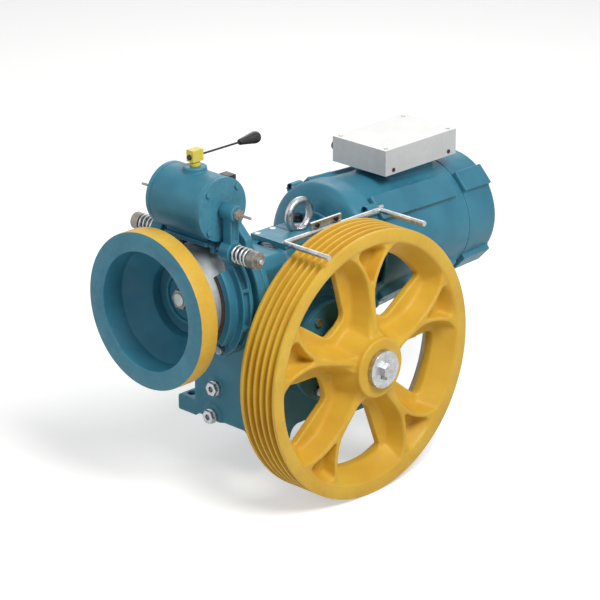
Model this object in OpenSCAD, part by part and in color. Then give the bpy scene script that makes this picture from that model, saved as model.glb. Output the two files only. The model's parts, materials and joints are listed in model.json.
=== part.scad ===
// Elevator traction machine: a worm gear casing with a rope sheave on the slow
// shaft, a flange motor, a brake drum with a handwheel, and a magnet brake.
// The feet stand on Z = 0. X runs along the sheave shaft, Y along the worm shaft.

/* [Gearing] */
// Height of the sheave shaft above the base
shaft_z = 174; // [165:1:185]
// Distance between the sheave shaft and the worm shaft
centres = 140; // [138:1:146]
// Pitch radius of the worm
worm_r = 45; // [42:0.5:46]
// Teeth of the worm wheel; the worm has one start
wheel_teeth = 40; // [36:1:48]
// Width of the worm wheel
wheel_w = 40; // [34:1:44]
// Play between the thread and the teeth, both flanks together
mesh_play = 1.2; // [0.9:0.1:1.8]
// Length of the worm's thread
thread_len = 78; // [70:1:79]

/* [Base] */
// Distance from the worm shaft to the left edge of the base
base_left = 171; // [160:1:190]
// Distance from the worm shaft to the right edge of the base
base_right = 89; // [84:1:96]
// Distance from the sheave shaft to the front edge of the base
base_front = 115.5; // [112:0.5:125]
// Distance from the sheave shaft to the back edge of the base
base_back = 158; // [150:1:175]
// Height of the left foot flange
flange_h = 32.5; // [28:0.5:40]
// Width of the left foot flange beside the casing
flange_w = 46.5; // [44:0.5:56]
// Radius of the four foot bolt holes
foot_hole_r = 9; // [7:0.5:11]
// Distance from the side edges to the foot bolt holes
foot_hole_in = 17.5; // [16:0.5:24]
// Distance from the front and back edges to the foot bolt holes
foot_hole_end = 24.5; // [22:0.5:30]
// Height of the gap under the front wall between the feet
sole_gap = 6; // [4:1:9]
// Width of the left feet's soles
left_sole = 50; // [46:1:60]
// Width of the right feet's soles
right_sole = 73; // [60:1:80]
// Length of each foot along the worm shaft
foot_len = 50; // [44:1:56]
// Height of the arch between the front and back feet
arch_h = 24; // [16:1:28]
// Thickness of the right feet's soles under the bolt pockets
sole_t = 20; // [16:1:22]

/* [Casing] */
// Wall thickness of the casing
wall = 6; // [5:0.5:7]
// Half width of the worm case
worm_case_w = 62; // [61:1:66]
// Half width of the flat top
top_w = 46; // [42:1:50]
// Height of the flat top above the worm shaft
top_h = 59; // [58:1:64]
// Thickness of the top cover
cover_t = 10; // [8:1:12]
// Distance from the sheave shaft to the front edge of the flat top
cover_front = 35; // [30:1:40]
// Height of the worm case's vertical sides above the worm shaft
shoulder_h = 26; // [20:1:32]
// Length of the top cover along the worm shaft
cover_l = 60; // [50:1:64]
// Distance from the sheave shaft to the motor bell's front
bell_front = 96; // [94:1:98]
// Half width of the neck round the worm shaft
neck_w = 58; // [55:1:62]
// Distance from the sheave shaft to the back of the brake carrier
neck_front = 164; // [160:1:170]
// Thickness of the neck's front flange
neck_flange_t = 14; // [10:1:18]
// Radius of the shaft boss on the sheave side
boss_r = 92; // [88:1:96]
// Radius of the bearing flange on the sheave side
bearing_flange_r = 98.5; // [95:0.5:104]
// Distance from the worm shaft to the outer face of the bearing flange
bearing_flange_x = 136; // [134:1:138]
// Thickness of the bearing flange
bearing_flange_t = 12; // [10:1:14]
// Radius of the level plug's collar
level_collar_r = 19; // [17:1:22]
// Radius of the drain plug's half-round boss
drain_boss_r = 24; // [21:1:28]
// Height of the drain plug
drain_z = 17.4; // [16:0.2:20]
// Height of the level plug
level_z = 77.6; // [70:0.2:90]
// Distance from the worm shaft to the drain plug
drain_x = 69; // [60:1:76]
// Distance from the worm shaft to the level plug
level_x = 60; // [54:1:70]

/* [Sheave] */
// Outer radius of the sheave
sheave_r = 261.5; // [252:0.5:275]
// Width of the sheave
sheave_w = 89; // [85:1:95]
// Distance from the worm shaft to the back of the sheave
sheave_x = 151.5; // [150:0.5:155]
// Number of rope grooves
groove_count = 5; // [3:1:5]
// Distance between rope grooves
groove_pitch = 15.8; // [14:0.2:17]
// Rope diameter that the grooves are cut for
rope_d = 10; // [8:0.5:11]
// Depth of the sheave's rim at its faces
rim_depth = 25.5; // [22:0.5:29]
// Depth of the sheave's rim at the web
rim_root = 52.5; // [48:0.5:56]
// Distance from the back face of the sheave to the web
web_in = 32.5; // [28:0.5:36]
// Thickness of the web
web_t = 15; // [12:1:18]
// Number of spokes and windows
spokes = 5; // [4:1:5]
// Distance from the shaft to the windows' inner ends
window_in = 94; // [90:1:100]
// Radius of the windows' outer corners
window_corner_r = 8; // [6:1:12]
// Radius of the windows' inner corners
window_inner_r = 22; // [18:1:26]
// Angle from a window's middle to its outer corners
window_half_a = 18.1; // [16:0.1:19]
// Height of the spoke ribs' tops above the web
rib_h = 37.5; // [30:0.5:40]
// Half width of the spoke ribs' tops
rib_top_w = 15; // [12:1:18]
// Half width of the spoke ribs' roots
rib_root_w = 30; // [26:1:36]
// Distance from the shaft to the point where each rib forks
fork_r = 156; // [148:1:164]
// Angle of the forked branches to their spoke
fork_a = 38; // [34:1:42]
// Radius of the hub's front ring
hub_r = 58.7; // [56:0.1:63]
// Radius of the hub's back
hub_back_r = 63; // [60:1:68]
// Length that the hub stands out past the sheave's front face
hub_out = 20; // [16:1:24]
// Radius of the end cap
end_cap_r = 36.5; // [35:0.5:42]
// Thickness of the end cap
end_cap_t = 11; // [8:1:14]

/* [Shafts] */
// Radius of the slow shaft in the sheave
shaft_r = 32; // [28:1:33]
// Radius of the slow shaft in the near bearing
near_r = 35; // [34:1:37]
// Outer radius of the near bearing
near_bearing_r = 62.5; // [60:0.5:66]
// Width of the near bearing
near_bearing_w = 24; // [20:1:28]
// Radius of the slow shaft in the far bearing
far_r = 27.5; // [25:0.5:30]
// Outer radius of the far bearing
far_bearing_r = 50; // [45:1:54]
// Width of the far bearing
far_bearing_w = 21; // [18:1:23]
// Radius of the worm shaft in its bearings
worm_seat_r = 25; // [22:0.5:27]
// Outer radius of the worm bearings
worm_bearing_r = 45; // [42:0.5:48]
// Width of each worm bearing
worm_bearing_w = 20; // [18:1:24]
// Radius of the worm shaft in the brake drum
drum_seat_r = 20; // [18:0.5:22]

/* [Brake drum and handwheel] */
// Radius of the brake drum
drum_r = 95; // [92:1:97]
// Distance from the sheave shaft to the back of the brake drum
drum_back = 190.3; // [189:0.1:194]
// Width of the brake drum
drum_w = 82; // [78:1:84]
// Thickness of the brake drum's rim
drum_t = 13; // [11:1:14]
// Distance from the brake drum's back to its web
drum_web_in = 22; // [18:1:24]
// Thickness of the brake drum's web
drum_web_t = 26; // [22:1:28]
// Radius of the handwheel
wheel_rim_r = 150; // [140:1:160]
// Width of the handwheel's rim
wheel_rim_w = 40.4; // [36:0.2:44]
// Distance from the sheave shaft to the handwheel's front
wheel_front = 352.1; // [350:0.1:360]
// Radius inside the handwheel's rim
wheel_mouth_r = 113; // [110:1:116]
// Depth of the handwheel's straight mouth
wheel_mouth_d = 46; // [44:1:48]
// Radius of the handwheel's cup bottom, inside
cup_r = 71; // [68:1:72]
// Wall thickness of the handwheel's cup
cup_t = 8; // [6:1:8]
// Depth of the handwheel's straight cup bottom
cup_bottom_d = 20; // [16:1:24]

/* [Brake arms] */
// Distance from the sheave shaft to the middle of the brake
brake_y = 220.3; // [219.5:0.1:221]
// Width of each brake arm
arm_w = 22; // [20:1:26]
// Width of each shoe and lining
shoe_w = 60; // [52:1:60]
// Thickness of each lining
lining_t = 8; // [6:0.5:9]
// Outer radius of each shoe, from the worm shaft
shoe_r = 118; // [114:1:120]
// Angle from the middle of a shoe to its ends
shoe_a = 38; // [34:1:40]
// Inner radius of each arm's bow, from the worm shaft
bow_in_r = 112; // [108:1:114]
// Outer radius of each arm's bow, from the worm shaft
bow_out_r = 134; // [130:1:137]
// Depth of the channel in each arm's outer face
channel_d = 9; // [6:1:12]
cut_reach = 5;  // how far the channels' cuts start outside the arm
// Width of the ridges beside the channel
ridge_w = 4; // [3:0.5:5]
// Distance from the worm shaft to the arm pivots, across
pivot_x = 72; // [70:1:74]
// Height of the worm shaft above the arm pivots
pivot_drop = 88; // [86:1:90]
// Radius of the pivot pins
pivot_r = 8; // [6:0.5:9]
// Inner side of each arm's straight bar
bar_in = 80; // [78:1:82]
// Outer side of each arm's straight bar
bar_out = 102; // [100:1:106]
// Radius of the boss at each arm's top
arm_top_r = 15; // [13:1:17]
// Radius of the adjusting screws
screw_r = 6; // [5:0.5:7]
// Radial clearance of pins and shafts that turn
running = 0.05; // [0.02:0.01:0.08]
// Gap between faces that only come close
near_gap = 0.3; // [0.3:0.05:0.4]

/* [Springs] */
// Height of the brake springs above the worm shaft
spring_h = 104.4; // [104:0.2:106]
// Outer radius of each spring
spring_r = 17.5; // [16:0.5:19]
// Radius of the spring wire
wire_r = 2.75; // [2:0.25:3]
// Length of each spring
spring_len = 41; // [36:1:46]
// Number of turns in each spring
spring_turns = 4; // [3:0.5:4.5]
// Thickness of the spring cups
cup_len = 18; // [12:1:20]
// Radius of the tie rod
tie_r = 5; // [4:0.5:5]

/* [Magnet] */
// Height of the magnet above the worm shaft
magnet_h = 181; // [180:0.5:184]
// Radius of the magnet
magnet_r = 60; // [56:1:62]
// Half length of the magnet with its end covers
magnet_half = 70; // [66:1:71]
// Thickness of the magnet's end covers
end_cover_t = 9; // [7:1:12]
// Radius of the plungers
plunger_r = 22; // [18:1:26]
// Radius of the push rods
push_r = 7; // [6:0.5:8]
// Radius of the boss on the magnet
lever_boss_r = 22; // [18:1:24]
// Height of the magnet's boss above its middle
lever_boss_h = 68; // [64:1:72]
// Radius of the release lever's stem
stem_r = 8; // [7:0.5:9]
// Length of the release rod
release_len = 120; // [100:1:140]
// Radius of the release rod
release_r = 1.9; // [1.5:0.1:2.5]
// Radius of the knob at its widest
knob_r = 12; // [10:0.5:14]
// Length of the knob
knob_len = 52; // [44:1:60]

/* [Motor] */
// Radius of the motor bell
bell_r = 133; // [130:1:138]
// Length of the motor bell
bell_len = 61.7; // [56:0.1:66]
// Radius of the motor frame at its front
frame_r1 = 128; // [124:1:130]
// Radius of the motor frame at its back
frame_r2 = 117; // [114:1:122]
// Length of the motor frame
frame_len = 252; // [240:1:260]
// Wall thickness of the motor frame
frame_t = 9; // [7:1:10]
// Length of the fan cowl
cowl_len = 80; // [74:1:90]
// Half width of the corner pads
pad_w = 26; // [22:1:30]
// Height of the corner pads past the motor bell
pad_out = 8; // [6:1:10]
// Height of the corner pads above the frame at the back
pad_h = 10; // [8:1:14]
// Outer radius of the rotor
rotor_r = 68; // [64:1:70]
// Air gap round the rotor
air_gap = 0.5; // [0.4:0.1:0.8]
// Radius of the fan
fan_r = 96; // [88:1:100]

/* [Terminal box] */
// Width of the terminal box across the motor
box_w = 140; // [120:1:150]
// Length of the terminal box along the motor
box_l = 202; // [180:1:210]
// Height of the terminal box
box_h = 51; // [44:1:60]
// Distance from the sheave shaft to the terminal box
box_y = 214.7; // [208:0.1:222]
// Height of the terminal box's bottom above the worm shaft
box_z = 138; // [137:1:142]
// Thickness of the terminal box's sheet
sheet_t = 2; // [1.5:0.25:3]

/* [Lifting eye and rope guard] */
// Outer radius of the lifting eye
eye_r = 36; // [32:1:40]
// Distance from the sheave shaft to the lifting eye, towards the motor
eye_y = 49.7; // [46:0.1:54]
// Radius of the lifting eye's hole
eye_hole_r = 21; // [18:1:23]
// Height of the lifting eye's middle above the flat top
eye_h = 27; // [26:0.5:32]
// Radius of the rope guard's rod
guard_r = 5; // [4:0.5:6]
// Distance from the sheave's top down to the rope guard
guard_drop = 11; // [8:0.5:13]
// Distance from the worm shaft to the rope guard's long leg
guard_x = 138.5; // [137:0.5:141]
// Distance from the sheave shaft to the guard's front leg
guard_front = 132; // [128:1:140]
// Distance from the sheave shaft to the guard's back leg
guard_back = 124; // [120:1:134]
// Distance from the worm shaft to the ends of the guard's legs
guard_out = 253; // [246:1:262]

/* [Hidden] */

PAINT = "#3d8196";
YELLOW = "#d8ac3c";
STEEL = "#b8bcc0";
DARK = "#2b2d30";
WHITE = "#eceeee";
BRONZE = "#b08440";

$fn = 72;
eps = 0.5;  // overlap of joined forms
past = 1;  // overshoot of cuts
seat_step = 0.6;  // raised parts stop this far short of the faces beside them

worm_z = shaft_z + centres;
worm_x = (base_left - base_right) / 2;  // the worm shaft, from the middle of the feet
wheel_y = (base_front - base_back) / 2;  // the sheave shaft, from the middle of the feet

module_m = 2 * (centres - worm_r) / wheel_teeth;
wheel_pitch_r = centres - worm_r;
tooth_pitch = PI * module_m;
flank_a = 20;
tooth_half = (tooth_pitch - mesh_play) / 4;
dedendum = 1.2 * module_m;
lead_a = atan(tooth_pitch / (2 * PI * worm_r));
wheel_tip_r = wheel_pitch_r + module_m;
worm_tip_r = worm_r + module_m;
worm_root_r = worm_r - dedendum;
oil_gap = 3.2;  // room round the wheel's teeth
case_in_r = wheel_tip_r + oil_gap;
case_half = wheel_w / 2 + oil_gap;
worm_room_r = worm_tip_r + 2;
worm_room_l = thread_len + 4;

box_left_x = flange_w - base_left;
boss_x = bearing_flange_x - bearing_flange_t;
spigot_r = worm_bearing_r + 12;
cover_back = cover_l - cover_front;  // back edge of the top cover
spigot_end = bell_front + 32;
rear_pad_r = 82;
rear_pad_t = 4;
worm_rear_y = spigot_end - worm_bearing_w;  // front of the rear worm bearing
cover_z = worm_z + top_h - cover_t;
hub_x = sheave_x + sheave_w + hub_out;
web_x = sheave_x + web_in + web_t;
lip_r = sheave_r - rim_depth;  // inside the rim at the sheave's faces
rim_in_r = sheave_r - rim_root;  // inside the rim at the web
guard_h = shaft_z + sheave_r - guard_drop - worm_z;

// --- placing and basic forms -------------------------------------------------

module at_axes() translate([worm_x, wheel_y, 0]) children();
module yz(x0, x1) translate([x0, 0, 0]) rotate([90, 0, 90]) linear_extrude(x1 - x0) children();
module xz(y0, y1) translate([0, y1, 0]) rotate([90, 0, 0]) linear_extrude(y1 - y0) children();
module rod_x(x0, x1, r) translate([x0, 0, 0]) rotate([0, 90, 0]) cylinder(h = x1 - x0, r = r);
module rod_y(y0, y1, r, r2) translate([0, y0, 0]) rotate([-90, 0, 0])
    cylinder(h = y1 - y0, r1 = r, r2 = is_undef(r2) ? r : r2);
module rod_z(z0, z1, r) translate([0, 0, z0]) cylinder(h = z1 - z0, r = r);
module tube_x(x0, x1, r, hole) difference() {
    rod_x(x0, x1, r);
    rod_x(x0 - 1, x1 + 1, hole);
}
module tube_y(y0, y1, r, hole) difference() {
    rod_y(y0, y1, r);
    rod_y(y0 - 1, y1 + 1, hole);
}
module turned_x() rotate([0, 90, 0]) rotate_extrude() children();
module turned_y() rotate([-90, 0, 0]) rotate_extrude() children();
module block(x0, x1, y0, y1, z0, z1) translate([x0, y0, z0]) cube([x1 - x0, y1 - y0, z1 - z0]);
module both_x() {
    children();
    mirror([1, 0, 0]) children();
}
module at_shaft() translate([0, 0, shaft_z]) children();
module at_worm() translate([0, 0, worm_z]) children();
module round_x(n, a0 = 0) for (i = [0 : n - 1]) rotate([a0 + i * 360 / n, 0, 0]) children();
module round_y(n, a0 = 0) for (i = [0 : n - 1]) rotate([0, a0 + i * 360 / n, 0]) children();

// A ring's sector about Y, from angle a0 to a1 above the X axis
module bow(r0, r1, a0, a1, y0, y1) rotate([-90, 0, 0]) rotate([0, 0, -a1])
    rotate_extrude(angle = a1 - a0) translate([r0, y0]) square([r1 - r0, y1 - y0]);

// A hexagon bolt along +Z with its head's seat at z = 0
module bolt(d, len) {
    translate([0, 0, -len]) cylinder(h = len + eps, d = d);
    cylinder(h = 0.65 * d, d = 1.85 * d, $fn = 6);
}
module out_x() rotate([0, 90, 0]) children();
module out_front() rotate([90, 0, 0]) children();

function arc(cx, cy, r, a0, a1, n) = [for (i = [0 : n]) let (a = a0 + (a1 - a0) * i / n)
    [cx + r * cos(a), cy + r * sin(a)]];

// --- casing -------------------------------------------------------------------

far_cover_t = 12;
top_screw_d = 8;
flange_bolt_d = 10;
far_bolt_d = 8;
carrier_bolt_d = 12;
thread_depth = 16;
top_thread = 7;
neck_top = 47;
side_wall = 8;  // wall of the casing beside the near bearing
eye_thread_r = 10;
eye_thread = 22;
filler_r = 7;
filler_depth = 20;
filler_x = -33;
filler_back = 29;  // from the eye to the filler, along the top
plug_r = 9;
plug_len = 18;
drain_boss_out = 6;  // the drain boss stands out past the front wall
level_collar_out = 5;
seal_r = near_r + 12;
seal_w = 8;
shaft_room = 3;  // room round the shafts where they pass a wall
top_head_h = 4;
top_head_r = 6;
top_screw_side = 9;  // from the flat top's sides to its screws
top_screw_end = 10;  // from the top cover's ends to its screws
far_bolt_out = 10;  // from the far bearing to the cover's bolts
neck_bevel = 12;
neck_shoulder = 16;  // width of the neck's sloping shoulders
near_lip = 9;  // shoulders that the bearings sit against
far_lip = 8;
worm_lip = 7;
pocket_h = 26;
pocket_in = 12;  // from a foot bolt to its pocket's near ends
below = 60;  // deep enough to cut off all that hangs below the base
foot_xs = [-base_left + foot_hole_in, base_right - foot_hole_in];
foot_ys = [-base_front + foot_hole_end, base_back - foot_hole_end];
pocket_w = 28;

module casing_outline() {
    translate([-base_front, 0]) square([base_front + base_back, shaft_z]);
    translate([0, shaft_z]) circle(r = base_front);
}

module casing_room() {
    translate([0, shaft_z]) circle(r = base_front - wall);
    translate([wall - base_front, sole_t + wall])
        square([base_front + base_back - 2 * wall, shaft_z - sole_t - 2 * wall]);
}

module worm_case_outline(top) polygon([
    [-worm_case_w, shaft_z], [worm_case_w, shaft_z], [worm_case_w, worm_z + shoulder_h],
    [top_w, top], [-top_w, top], [-worm_case_w, worm_z + shoulder_h]]);

module neck_outline() translate([0, worm_z]) polygon([
    [neck_bevel - neck_w, -neck_w], [neck_w - neck_bevel, -neck_w], [neck_w, neck_bevel - neck_w],
    [neck_w, shoulder_h], [neck_w - neck_shoulder, neck_top], [neck_shoulder - neck_w, neck_top],
    [-neck_w, shoulder_h], [-neck_w, neck_bevel - neck_w]]);

module arch_outline() {
    translate([foot_len - base_front + arch_h - eps, -past])
        square([base_front + base_back - 2 * foot_len - 2 * arch_h + 2 * eps, arch_h + past]);
    for (y = [foot_len - base_front + arch_h, base_back - foot_len - arch_h])
        translate([y, 0]) circle(r = arch_h);
}

module at_top_screws() for (x = [-1, 1], y = [top_screw_end - cover_front, cover_back - top_screw_end])
    translate([x * (top_w - top_screw_side), y, worm_z + top_h]) children();
module at_flange_bolts() at_shaft() round_x(6, 30)
    translate([bearing_flange_x, 0, (near_bearing_r + bearing_flange_r) / 2]) out_x() children();
module at_far_bolts() at_shaft() round_x(6)
    translate([box_left_x - far_cover_t, 0, far_bearing_r + far_bolt_out])
        rotate([0, -90, 0]) children();
module at_eye() translate([0, eye_y, worm_z + top_h]) children();
module at_filler() translate([filler_x, eye_y + filler_back, worm_z + top_h]) children();

module at_plugs() {
    translate([-drain_x, -base_front - drain_boss_out, drain_z]) out_front() children();
    translate([-level_x, -base_front - level_collar_out, level_z]) out_front() children();
}

module gear_housing() color(PAINT) difference() {
    union() {
        difference() {
            union() {
                yz(box_left_x, base_right) casing_outline();
                block(-base_left, box_left_x + eps, -base_front, base_back, 0, flange_h);
                at_shaft() rod_x(base_right - eps, boss_x, boss_r);
                xz(-cover_front, cover_back + eps) worm_case_outline(cover_z);
                xz(cover_back, bell_front) worm_case_outline(worm_z + top_h);
                xz(-neck_front, eps - cover_front) neck_outline();
                at_worm() rod_y(-neck_front, neck_flange_t - neck_front, carrier_r);
                translate([-drain_x, 0, drain_z])
                    rod_y(-base_front - drain_boss_out, 0, drain_boss_r);
                translate([-level_x, 0, level_z])
                    rod_y(-base_front - level_collar_out, 0, level_collar_r);
                at_guard_feet() translate([0, 0, worm_case_w - bar_x - eps])
                    cylinder(h = bar_x - bar_t - worm_case_w + eps, r = standoff_r);
            }
            yz(box_left_x + wall, -case_half) casing_room();
            at_shaft() rod_x(-case_half - eps, base_right - side_wall, case_in_r);
            at_worm() rod_y(-worm_room_l / 2, worm_room_l / 2, worm_room_r);
        }
        at_shaft() rod_x(box_left_x + eps, box_left_x + far_bearing_w + wall, far_bearing_r + wall);
        at_worm() rod_y(bell_front - rear_pad_t, bell_front, rear_pad_r);
        at_worm() rod_y(bell_front - eps, spigot_end, spigot_r);
    }
    // below the base
    block(-base_left - past, base_right + past, -base_front - below, base_back + past, -below, 0);
    // bearing seats and shaft bores
    at_shaft() rod_x(boss_x - near_bearing_w, boss_x + past, near_bearing_r);
    at_shaft() rod_x(0, boss_x, near_bearing_r - near_lip);
    at_shaft() rod_x(box_left_x - past, box_left_x + far_bearing_w, far_bearing_r);
    at_shaft() rod_x(box_left_x, 0, far_bearing_r - far_lip);
    at_worm() rod_y(-neck_front - past, worm_bearing_w - neck_front, worm_bearing_r);
    at_worm() rod_y(-neck_front, 0, worm_bearing_r - worm_lip);
    at_worm() rod_y(worm_rear_y, spigot_end + past, worm_bearing_r);
    at_worm() rod_y(0, spigot_end, worm_bearing_r - worm_lip);
    // feet
    yz(-base_left - past, base_right + past) arch_outline();
    block(left_sole - base_left, base_right - right_sole, -base_front - below, base_back + past,
        -past, sole_gap);
    for (x = foot_xs, y = foot_ys) translate([x, y, 0]) rod_z(-past, flange_h + past, foot_hole_r);
    for (y = [foot_ys[0] - pocket_in, foot_ys[1] - foot_len + pocket_in])
        block(foot_xs[1] - pocket_w / 2, foot_xs[1] + pocket_in, y, y + foot_len, sole_t,
            sole_t + pocket_h);
    // tapped holes
    at_top_screws() translate([0, 0, -top_thread - cover_t])
        cylinder(h = top_thread + cover_t, d = top_screw_d);
    at_eye() translate([0, 0, -eye_thread]) cylinder(h = eye_thread + past, r = eye_thread_r);
    at_filler() translate([0, 0, -filler_depth]) cylinder(h = filler_depth + past, r = filler_r);
    at_flange_bolts() translate([0, 0, -thread_depth - bearing_flange_t])
        cylinder(h = thread_depth + bearing_flange_t, d = flange_bolt_d);
    at_far_bolts() translate([0, 0, -thread_depth - far_cover_t])
        cylinder(h = thread_depth + far_cover_t, d = far_bolt_d);
    at_carrier_bolts() translate([0, 0, -carrier_t - neck_flange_t - past])
        cylinder(h = carrier_t + neck_flange_t + past, d = carrier_bolt_d);
    at_guard_feet() translate([0, 0, -thread_depth - bar_t])
        cylinder(h = thread_depth + bar_t, d = guard_bolt_d);
    at_plugs() translate([0, 0, -plug_len]) cylinder(h = plug_len + past, r = plug_r);
}

module oil_plugs() color(STEEL) at_plugs() difference() {
    union() {
        translate([0, 0, -plug_len]) cylinder(h = plug_len + 1, r = plug_r);
        cylinder(h = 4, r = 15);
        cylinder(h = 12, r = 14, $fn = 6);
    }
    translate([0, 0, 3]) cylinder(h = 12, r = 6);
}

module top_cover() color(PAINT) difference() {
    block(-top_w, top_w, -cover_front, cover_back, cover_z, cover_z + cover_t);
    at_worm() rod_y(-worm_room_l / 2, worm_room_l / 2, worm_room_r);
    at_top_screws() translate([0, 0, -cover_t - past])
        cylinder(h = cover_t + 2 * past, d = top_screw_d);
    at_top_screws() translate([0, 0, -top_head_h]) cylinder(h = top_head_h + past, r = top_head_r);
}

module filler_cap() color(DARK) at_filler() {
    translate([0, 0, -14]) cylinder(h = 15, r = filler_r);
    cylinder(h = 4, r = 11);
    cylinder(h = 13, r = 9);
}

module bearing_flange() color(PAINT) difference() {
    at_shaft() rod_x(boss_x, bearing_flange_x, bearing_flange_r);
    at_shaft() rod_x(boss_x - past, bearing_flange_x + past, near_r + shaft_room);
    at_shaft() rod_x(bearing_flange_x - seal_w, bearing_flange_x + past, seal_r);
    at_flange_bolts() translate([0, 0, -bearing_flange_t - past])
        cylinder(h = bearing_flange_t + 2 * past, d = flange_bolt_d);
}

module far_cover() color(PAINT) difference() {
    at_shaft() rod_x(box_left_x - far_cover_t, box_left_x, far_bearing_r + 2 * far_bolt_out);
    at_shaft() rod_x(box_left_x - 4, box_left_x + past, far_r + 2);
    at_far_bolts() translate([0, 0, -far_cover_t - past])
        cylinder(h = far_cover_t + 2 * past, d = far_bolt_d);
}

module casing_bolts() color(STEEL) {
    at_top_screws() {
        translate([0, 0, past - top_thread - cover_t])
            cylinder(h = top_thread + cover_t - 2 * past, d = top_screw_d);
        translate([0, 0, -top_head_h]) cylinder(h = top_head_h, r = top_head_r);
    }
    at_flange_bolts() bolt(flange_bolt_d, thread_depth + bearing_flange_t - 1);
    at_far_bolts() bolt(far_bolt_d, thread_depth + far_cover_t - 1);
    at_carrier_bolts() bolt(carrier_bolt_d, carrier_t + neck_flange_t);
}

module shaft_bearings() color(STEEL) at_shaft() {
    tube_x(boss_x - near_bearing_w, boss_x, near_bearing_r, near_r + running);
    tube_x(box_left_x, box_left_x + far_bearing_w, far_bearing_r, far_r + running);
}

module worm_bearings() color(STEEL) at_worm() {
    tube_y(-neck_front, worm_bearing_w - neck_front, worm_bearing_r, worm_seat_r + running);
    tube_y(worm_rear_y, spigot_end, worm_bearing_r, worm_seat_r + running);
    tube_y(frame_y + shield_t, frame_y + shield_t + motor_bearing_w, motor_bearing_r,
        motor_shaft_r + running);
    tube_y(frame_end - motor_bearing_w, frame_end, motor_bearing_r, motor_shaft_r + running);
}

module shaft_seal() color(DARK) at_shaft()
    tube_x(bearing_flange_x - seal_w, bearing_flange_x + seal_w / 2, seal_r, near_r + running);

// --- lifting eye and rope guard ------------------------------------------------

eye_rod_r = (eye_r - eye_hole_r) / 2;
eye_collar_r = 15;
eye_collar_h = 5;
// The ring is cut off flat at the top cover's level
module lifting_eye() color(STEEL) at_eye() {
    intersection() {
        translate([0, 0, eye_h]) turned_x() translate([eye_r - eye_rod_r, 0]) circle(r = eye_rod_r);
        block(-eye_r, eye_r, -eye_r - past, eye_r + past, 0, eye_h + eye_r + past);
    }
    cylinder(h = eye_collar_h, r = eye_collar_r);
    translate([0, 0, -eye_thread]) cylinder(h = eye_thread + past, r = eye_thread_r);
}

guard_bend = 7;
module guard_rod() color(STEEL) at_worm() translate([guard_x, 0, guard_h]) {
    rod_y(guard_bend - guard_front, guard_back - guard_bend, guard_r);
    for (s = [-1, 1]) {
        y = s > 0 ? guard_back : -guard_front;
        translate([guard_bend, y, 0]) rod_x(0, guard_out - guard_x - guard_bend, guard_r);
        translate([guard_bend, y - s * guard_bend, 0]) rotate([0, 0, s > 0 ? 90 : 180])
            rotate_extrude(angle = 90) translate([guard_bend, 0]) circle(r = guard_r);
    }
}

bar_t = 5;
bar_y0 = -54.3;
bar_y1 = 25.7;
bar_x = guard_x - guard_r;  // outer face of the guard's bar, against the rod
bar_low = 3;  // from the rod's axis up to the bar's lower edge
bar_h = 13.8;
bar_bolt_in = 15;  // from the bar's ends to its screws
leg_w = 18;
leg_end = 12;  // from the feet's bolts to the legs' lower ends
foot_drop = 90;  // from the rod's axis down to the feet's bolts
standoff_r = 11;
guard_bolt_d = 8;
bar_screw_d = 5;
module at_guard_ends() for (y = [bar_y0 + bar_bolt_in, bar_y1 - bar_bolt_in])
    translate([bar_x, y, worm_z + guard_h]) out_x() children();
module at_guard_feet() at_guard_ends() translate([foot_drop, 0, 0]) children();
module at_bar_screws() at_guard_ends() translate([-bar_low - bar_h / 2, 0, 0]) children();
module guard_bar() color(STEEL) difference() {
    union() {
        block(bar_x - bar_t, bar_x, bar_y0, bar_y1, worm_z + guard_h + bar_low,
            worm_z + guard_h + bar_low + bar_h);
        at_guard_ends() block(-bar_low - eps, foot_drop + leg_end, -leg_w / 2, leg_w / 2, -bar_t, 0);
    }
    at_guard_feet() translate([0, 0, -bar_t - past]) cylinder(h = bar_t + 2 * past, d = guard_bolt_d);
    at_bar_screws() translate([0, 0, -bar_t - past]) cylinder(h = bar_t + 2 * past, d = bar_screw_d);
}
module guard_bolts() color(DARK) {
    at_guard_feet() bolt(guard_bolt_d, bar_t + thread_depth - 1);
    at_bar_screws() bolt(bar_screw_d, bar_t + 3);
}

// --- brake carrier, springs and magnet ------------------------------------------

carrier_r = 125;
carrier_t = 18;
carrier_y = -neck_front - carrier_t;  // front face of the brake carrier
shelf_z = spring_h + 6;
shelf_t = 10;
shelf_x = 56;
tie_lug_x = 47;
tab_x = 90;  // half width of the carrier's top at its foot
tab_z = 116;
tab_top_x = 61;
tab_top_z = 143;
tab_root_x = 0.8 * carrier_r;
tab_root_z = 60;
carrier_bolt_in = 14;  // from the carrier's edge to its bolts
pivot_wall = 8;  // metal round the pivot pins
pivot_boss = 26;  // the pivot bosses' length before the carrier
pin_depth = 8;
pin_end = 8;  // the pins stand out past the arms
tie_wall = 5;
tie_lug_w = 12;  // half width of the tie rod's lugs

module at_pivot() translate([pivot_x, 0, worm_z - pivot_drop]) children();
module at_carrier_bolts() at_worm() for (a = [45, 135, 215, 325])
    rotate([0, -a, 0]) translate([carrier_r - carrier_bolt_in, carrier_y, 0]) out_front() children();

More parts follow.
